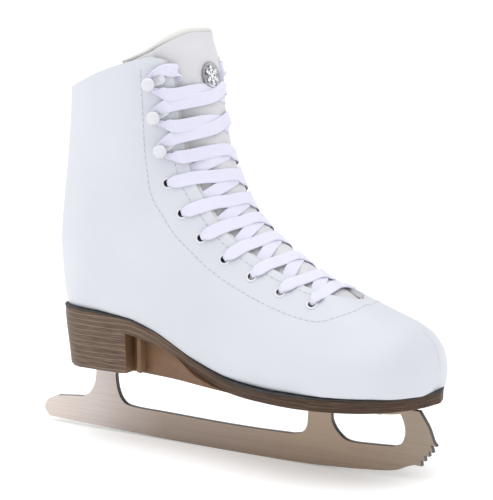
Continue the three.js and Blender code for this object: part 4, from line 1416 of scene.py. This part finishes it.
# Half width of the sole along the boot, as (x, half width).
OUTLINE = np.array([
    (-124.6, 4), (-122.5, 13), (-117, 21), (-108, 27.5), (-95, 31), (-75, 31.5), (-55, 29.5), (-30, 27.5),
    (-5, 29.5), (20, 36.5), (45, 44), (70, 47.8), (90, 47), (110, 42.5), (125, 35.5), (137, 26.5),
    (145, 15), (148.6, 4)], float)
HEEL_FRONT = -60.8
BREAST_TOP = 76.3
UNDERSIDE = np.array([
    (HEEL_FRONT, BREAST_TOP), (-50, 74), (-32, 69), (-16, 61), (-6, 55.6), (5, 52), (15, 50), (31, 48.7),
    (60, 48.5), (108, 48.2), (128, 48.3), (143, 48.9), (152, 49.7)], float)
HEEL_BOTTOM = 49.5
# Height of the boot's lower edge behind the heel and at the toe, and where its level part ends.
HEEL_EDGE = 93.0
TOE_EDGE = 58.2
HEEL_LEVEL_END = -107
WEB = np.array([(-62, 19), (-28, 24), (-2, 31), (15, 35.5), (29, 38)], float)
WEB_BOTTOM = 49.05
RIB_X = -52.5
RIB_THICK = 3.5
RIB_Y = 26.5
RIB_TOP = 76.0
RIB_SOFT = 0.6
# Height of the welt's top edge above the boot's lower line, along the boot.
WELT_TOP = (
    (-150, -3.6), (-122, -3.6), (-108, -2.9), (-90, -2.7), (-74, -1.5), (-56, 1.0), (-36, 0.9),
    (-12, -1.0), (18, -2.0), (60, -1.4), (90, -0.1), (125, 0.5), (140, -0.6), (152, -2.0))
WELT_THICK = 0.95
WELT_WIDER = 0.3
WELT_LONGER = 1.002


def through(table, x):
    """Smooth value at x of a table of (x, value)."""
    t = np.linspace(0, len(table) - 1, 40 * len(table))
    dense = curve_at(table, t)
    return np.interp(x, dense[:, 0], dense[:, 1])


def sole_line(x):
    """Height of the boot's lower edge."""
    line = STATIONS[1:14, :2][::-1].copy()
    line[0] = (-140, HEEL_EDGE)
    line = np.vstack([line, (156, TOE_EDGE)])
    return np.where(np.asarray(x) < HEEL_LEVEL_END, HEEL_EDGE, through(line, x))


def welt_top(x):
    """Height of the welt's top edge, where the leather ends."""
    return sole_line(x) + np.interp(x, *zip(*WELT_TOP))


def outline_rows(steps=10):
    """The sole's outline as a smooth curve, nearly closed at the heel and at the toe."""
    t = np.linspace(0, len(OUTLINE) - 1, steps * (len(OUTLINE) - 1) + 1)
    dense = curve_at(OUTLINE, t)
    return np.vstack([(dense[0, 0] - 0.7, 0.4), dense, (dense[-1, 0] + 0.6, 0.4)])


def both_sides(x, side, stretch=1.0):
    """Closed section at x from the points of one side, given as (half width, height)."""
    middle = float(swing(x))
    right = [(x * stretch, middle - y, z) for y, z in side]
    return right + [(x * stretch, middle + y, z) for y, z in side[1:-1][::-1]]


SOLE_BEVEL = 0.9
SOLE_TOP_BEVEL = 0.35


def sole_section(x, half, low, high, taper):
    """Closed section across the sole; its lower edge is bevelled and its walls lean in by taper."""
    bevel = min(SOLE_BEVEL, half * 0.4)
    top_bevel = min(SOLE_TOP_BEVEL, half * 0.3)
    wall = half - taper
    side = [(0, low), (0.5 * wall, low), (wall - bevel, low), (wall - bevel * 0.3, low + bevel * 0.3),
            (wall, low + bevel)]
    for share in (0.2, 0.4, 0.6, 0.8):
        z = low + bevel + (high - low - bevel - top_bevel) * share
        side.append((half - taper * (1 - share) ** 1.3, z))
    side += [(half, high - top_bevel), (half - top_bevel, high), (0.5 * half, high), (0, high)]
    return both_sides(x, side)


# How far the walls lean in: of the heel, more at its rear, and of the sole.
HEEL_TAPER = 1.0
REAR_TAPER = 1.6
SOLE_TAPER = 0.3
# Front edge of the heel as (place behind its front, height of the section's underside, taper).
BREAST = (
    (1.1, HEEL_BOTTOM, HEEL_TAPER), (0.3, HEEL_BOTTOM + 0.25, HEEL_TAPER),
    (0.0, HEEL_BOTTOM + 1.0, HEEL_TAPER), (0.0, BREAST_TOP, 0.0))
HEEL_LEAN = 2.6


def sole_body():
    """Heel and sole in one body; the heel's rear leans in towards its bottom."""
    rows = outline_rows()
    heel = rows[rows[:, 0] <= HEEL_FRONT - BREAST[0][0]]
    front = rows[rows[:, 0] > HEEL_FRONT]
    rings = []
    for x, half in heel:
        taper = HEEL_TAPER + REAR_TAPER * float(smoothstep(-95, -122, x))
        high = float(welt_top(x)) - WELT_THICK
        rings.append(sole_section(x, half, HEEL_BOTTOM, high, min(taper, half * 0.5)))
    edge = float(np.interp(HEEL_FRONT, rows[:, 0], rows[:, 1]))
    top = float(welt_top(HEEL_FRONT)) - WELT_THICK
    rings.extend(sole_section(HEEL_FRONT - back, edge, low, top, taper) for back, low, taper in BREAST)
    for x, half in front:
        high = float(welt_top(x)) - WELT_THICK
        taper = min(SOLE_TAPER, half * 0.5)
        rings.append(sole_section(x, half, float(through(UNDERSIDE, x)), high, taper))
    rings = np.array(rings)
    rear = smoothstep(-100, -124, rings[:, :, 0]) * smoothstep(85, 49, rings[:, :, 2])
    rings[:, :, 0] += HEEL_LEAN * rear
    obj = loft("sole_body", rings, [SOLE_LOOK, WEB_LOOK], sharp=38)
    mark_layers(obj)
    breast_faces(obj)
    return obj


# The layers are level under the heel; between these places they bend to follow the sole's line.
LAYERS_BEND = (-74, -25)
LAYERS_TOP = 88
# The heel's paler tone fades by this share between these places.
TONE_FADE = (-70, 40)
TONE_FADE_SHARE = 0.8


def mark_layers(obj):
    """Stores where each point lies in the stack of layers, and how much it belongs to the heel."""
    co = points_of(obj.data) / MM
    bent = smoothstep(*LAYERS_BEND, co[:, 0])
    drop = (sole_line(co[:, 0]) - LAYERS_TOP) * bent
    heel = 1 - TONE_FADE_SHARE * smoothstep(*TONE_FADE, co[:, 0])
    for name, values in (("layer", co[:, 2] - drop), ("heel", heel)):
        stored = obj.data.attributes.new(name, "FLOAT", "POINT")
        stored.data.foreach_set("value", values.astype(np.float32))


def breast_faces(obj):
    """The heel's front face and the underside of the arch are plain, like the web."""
    for polygon in obj.data.polygons:
        x, way = polygon.center.x / MM, polygon.normal
        breast = way.x > 0.6 and -62.5 < x < -58
        underside = way.z < -0.6 and x > -60
        if breast or underside:
            polygon.material_index = 1


WEB_IN_SOLE = 0.8
WEB_SOFT = 1.2
WEB_FILLET = 2.2


def web():
    """Plain wall under the arch, with a fillet where it meets the sole."""
    rings = []
    for x, half in curve_at(WEB, np.linspace(0, len(WEB) - 1, 60)):
        top = float(through(UNDERSIDE, max(x, HEEL_FRONT))) + WEB_IN_SOLE
        low = WEB_BOTTOM
        soft = min(WEB_SOFT, (top - low) * 0.3)
        fillet = min(WEB_FILLET, max(0.1, (top - low) * 0.35))
        side = [(0, low), (half - 1.2, low), (half - 0.35, low + 0.35), (half, low + soft)]
        side += [(half, top - fillet), (half + 0.5 * fillet, top - 0.25 * fillet), (half + fillet, top)]
        side.append((0, top))
        rings.append(both_sides(x, side))
    return loft("web", rings, WEB_LOOK, sharp=40)


def rib():
    """Cross rib in the hollow behind the heel's front, with soft edges."""
    rings = []
    for y, shrink in ((-RIB_Y, 0.7), (-RIB_Y + RIB_SOFT, 0), (RIB_Y - RIB_SOFT, 0), (RIB_Y, 0.7)):
        half = RIB_THICK / 2 - shrink * 0.7
        low = HEEL_BOTTOM + 1 + shrink
        side = ((half, RIB_TOP), (half, low + RIB_SOFT), (half - RIB_SOFT, low))
        left = [(RIB_X - x, y, z) for x, z in side]
        rings.append(left + [(RIB_X + x, y, z) for x, z in side[::-1]])
    return loft("rib", rings, WEB_LOOK, sharp=40)


def sole():
    """Moulded heel and sole unit, with its web and rib."""
    obj = join("sole_unit", [sole_body(), web(), rib()])
    finish_piece(obj, "sole_unit", "outsole_heel_unit")


def welt():
    """Thin dark layer between the sole and the leather, a little wider and longer than the sole."""
    rings = []
    for x, half in outline_rows():
        wide = half + WELT_WIDER
        high = float(welt_top(x))
        low = high - WELT_THICK
        soft = min(0.3, wide * 0.4)
        side = [(0, low), (wide - soft, low), (wide, low + 0.3), (wide, high - 0.3), (wide - soft, high),
                (0, high)]
        rings.append(both_sides(x, side, WELT_LONGER))
    obj = loft("welt_strip", rings, WELT_LOOK, sharp=50)
    finish_piece(obj, "welt", "welt_rand")


# ---------------------------------------------------------------- blade and screws

BLADE_THICK = 3.8
REAR_TOP = 46.9
FRONT_TOP = 45.5
# Side outline of the blade, from the middle of the runner forwards and back over the top. Each run is
# straight lines or a smooth curve on from the point before it.
BLADE_RUNS = (
    ("line", ((0, 0), (42, 0))),
    ("curve", ((64, 0.6), (87, 1.8), (104, 3.2), (117, 4.5), (125.5, 6.2), (132.5, 9.4))),
    ("line", ((137.3, 11.1), (142.5, 10.9), (141.8, 14.6), (144.8, 14.4), (144.3, 18), (147.6, 17.7),
              (147, 21), (150.1, 20.5), (148.6, 25), (152.4, 24.7), (150, 27.8))),
    ("curve", ((146.7, 36), (140.3, FRONT_TOP))),
    ("line", ((125.5, FRONT_TOP),)),
    ("curve", ((129.4, 38.3), (130.9, 30.8), (128.7, 23.6), (123.5, 20.9))),
    ("curve", ((108, 19.9), (91.7, 19.7), (84, 24.1), (79.6, 30.4), (78.9, 36))),
    ("line", ((80.5, FRONT_TOP), (62.2, FRONT_TOP))),
    ("curve", ((62, 33), (61, 24.8), (57.2, 20.4), (50.4, 18.6))),
    ("line", ((23.8, 17.9),)),
    ("curve", ((-6, 17.9), (-48, 18.7), (-75.7, 19.3), (-84.3, 22.4), (-88.5, 30), (-90, 39.2))),
    ("line", ((-88.5, REAR_TOP), (-106.5, REAR_TOP), (-106.7, 38.5))),
    ("curve", ((-108.3, 31.1), (-112.8, 24.3), (-118.5, 21.3))),
    ("line", ((-141.1, 18.9),)),
    ("curve", ((-149.4, 15), (-152.6, 8.6), (-148.3, 3))),
    ("curve", ((-113, 2), (-70, 1.1), (-25, 0.25), (0, 0))),
)


def blade_outline():
    """The runs as one closed list of (x, z)."""
    points = []
    for kind, run in BLADE_RUNS:
        if kind == "line":
            points.extend(run)
            continue
        through_points = np.array([points[-1], *run], float)
        padded = np.vstack([through_points[:1], through_points, through_points[-1:]])
        for i in range(len(through_points) - 1):
            for f in np.linspace(0, 1, 9)[1:]:
                points.append(tuple(catmull(*padded[i:i + 4], f)))
    return points[:-1]


BLADE_BEVEL = 0.25


def blade():
    """The outline filled and given its thickness, with near-black steel on the edges as a painted dark
    reflection.
    """
    bevel = BLADE_BEVEL * MM
    curve = with_values(
        bpy.data.curves.new("blade_outline", "CURVE"), dimensions="2D", fill_mode="BOTH",
        extrude=(BLADE_THICK / 2 - BLADE_BEVEL) * MM, bevel_depth=bevel, bevel_resolution=1, offset=-bevel)
    outline = blade_outline()
    spline = curve.splines.new("POLY")
    spline.points.add(len(outline) - 1)
    for point, (x, z) in zip(spline.points, outline):
        point.co = (x * MM, z * MM, 0, 1)
    spline.use_cyclic_u = True
    flat = bpy.data.objects.new("blade_outline", curve)
    bpy.context.scene.collection.objects.link(flat)
    graph = bpy.context.evaluated_depsgraph_get()
    data = bpy.data.meshes.new_from_object(flat.evaluated_get(graph))
    bpy.data.objects.remove(flat)
    data.transform(Matrix.Rotation(math.radians(90), 4, "X"))
    data.materials.clear()
    data.materials.append(STEEL_WITH_PAINTED_REFLECTION)
    data.materials.append(STEEL_EDGE_PAINTED_REFLECTION)
    # The flat sides take the steel; the edges take the near-black painted reflection.
    for polygon in data.polygons:
        polygon.material_index = 0 if abs(polygon.normal.y) > 0.5 else 1
        polygon.use_smooth = abs(polygon.normal.y) < 0.5
    data.set_sharp_from_angle(angle=math.radians(30))
    obj = bpy.data.objects.new("skate_blade", data)
    bpy.context.scene.collection.objects.link(obj)
    finish_piece(obj, "blade_steel", "blade")


# Screws of each plate: the height of the plate's underside, then each screw's x and y.
SCREWS = {
    "rear": (47.2, ((-110, 14), (-110, -14), (-76, 14), (-76, -14))),
    "front": (45.8, ((60, 22), (60, -22), (92, 22), (92, -22), (120, 15), (120, -15))),
}
SCREW_PROFILE = (
    (0, 4.5), (1.6, 4.3), (1.7, -0.3), (3.5, -0.3), (3.6, -0.55), (3.5, -1.0), (2.9, -1.5), (1.8, -1.75),
    (0, -1.8))
RECESS_REACH = 1.9
RECESS_DEPTH = -1.72
RECESS_RADIUS = 0.32


def screws():
    """Pan-head screws, heads down under the plates, each with a near-black cross of painted shade where the
    recess is.
    """
    for label, (z, spots) in SCREWS.items():
        head = turned("screw", SCREW_PROFILE, SCREW_LOOK, segments=32)
        arms = [[], []]
        # Painted shade: the cross recess is two dark tubes sunk into the head, not a cut.
        for degrees in (45, 135):
            way = np.append(polar(degrees) * RECESS_REACH, 0)
            path = [place + (0, 0, RECESS_DEPTH) for place in (-way, way)]
            tube(arms, path, np.array((0, 0, 1.0)), RECESS_RADIUS)
        screw = join("screw", [head, mesh("recess_shade", *arms, PAINTED_SHADE)])
        names = [str(k + 1) for k in range(len(spots))]
        matrices = [Matrix.Translation((x * MM, y * MM, z * MM)) for x, y in spots]
        place_copies(screw, f"plate_screw_{label}", f"{label}_screw", names, matrices, "screw_steel")


def carried_nodes():
    """Better materials for the CAD nodes whose shape is kept."""
    # The sole plates take the blade's steel with its painted reflection along x.
    for name, look in (("rear_sole_plate", STEEL_WITH_PAINTED_REFLECTION), ("front_sole_plate", STEEL_WITH_PAINTED_REFLECTION), ("insole_board", BOARD),
                       ("footbed", LINING_LOOK)):
        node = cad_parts[name]
        node.data.materials.clear()
        node.data.materials.append(look)


# ---------------------------------------------------------------- the assembly

upper()
inner_layers()
facing_trim()
collar_pad()
stitching()
tongue()
tongue_piping()
badge()
lace()
eyelets()
lace_hooks()
sole()
welt()
blade()
screws()
carried_nodes()

# ---------------------------------------------------------------- floor, light and camera

CAMERA_AIM = Vector((0.0147, 0, 0.1347))
CAMERA_DISTANCE = 1.05
CAMERA_AZIMUTH = math.radians(32)
CAMERA_ELEVATION = math.radians(8.8)
CAMERA_LENS = 117.4
SENSOR_WIDTH = 36
FLOOR_REACH = 6000
LIGHT_TARGET = (0.01, 0, 0.13)


def floor():
    """Plain pale floor."""
    look = surface("pale_floor", grey(0.92), 0.75, Emission_Color=(1, 1, 1, 1), Emission_Strength=0.2)
    mottle = noise(look, coordinates(look), 3, 2)
    drive(look, "Base Color", grey_ramp(look, mottle, (0.3, 0.90), (0.7, 0.93)))
    corners = [(x * FLOOR_REACH, y * FLOOR_REACH, 0) for x, y in ((-1, -1), (1, -1), (1, 1), (-1, 1))]
    mesh("floor", corners, [(0, 1, 2, 3)], look, smooth=False)


def aimed(name, data, way, place=(0, 0, 0)):
    """Puts a light or a camera in the scene, looking along way."""
    obj = bpy.data.objects.new(name, data)
    obj.location = place
    obj.rotation_mode = "QUATERNION"
    obj.rotation_quaternion = Vector(way).to_track_quat("-Z", "Y")
    bpy.context.scene.collection.objects.link(obj)
    return obj


def area_light(name, place, size, power):
    data = with_values(bpy.data.lights.new(name, "AREA"), shape="DISK", size=size, energy=power)
    aimed(name, data, Vector(LIGHT_TARGET) - Vector(place), place)


def sun(name, way, strength, angle):
    data = with_values(bpy.data.lights.new(name, "SUN"), energy=strength, angle=math.radians(angle))
    aimed(name, data, way)


def studio():
    """White surroundings, one wide overhead light and two soft lamps."""
    world = bpy.data.worlds.new("studio")
    world.use_nodes = True
    background = world.node_tree.nodes["Background"]
    background.inputs["Color"].default_value = (1, 1, 1, 1)
    background.inputs["Strength"].default_value = 1.0
    bpy.context.scene.world = world
    sun("overhead", way=(0.2, 0.25, -1), strength=0.85, angle=80)
    area_light("key", place=(-1.1, -1.0, 0.9), size=0.8, power=2.2)
    area_light("top", place=(0.5, 0.1, 1.5), size=0.9, power=3.4)


def camera():
    """Camera at the photograph's viewing angle, in front of the boot's right side."""
    data = with_values(bpy.data.cameras.new("camera"), lens=CAMERA_LENS, sensor_width=SENSOR_WIDTH)
    back = Vector((math.sin(CAMERA_AZIMUTH) * math.cos(CAMERA_ELEVATION),
                   -math.cos(CAMERA_AZIMUTH) * math.cos(CAMERA_ELEVATION), math.sin(CAMERA_ELEVATION)))
    place = CAMERA_AIM + back * CAMERA_DISTANCE
    bpy.context.scene.camera = aimed("camera", data, -back, place)


floor()
studio()
camera()
bpy.context.scene.view_settings.view_transform = "Standard"
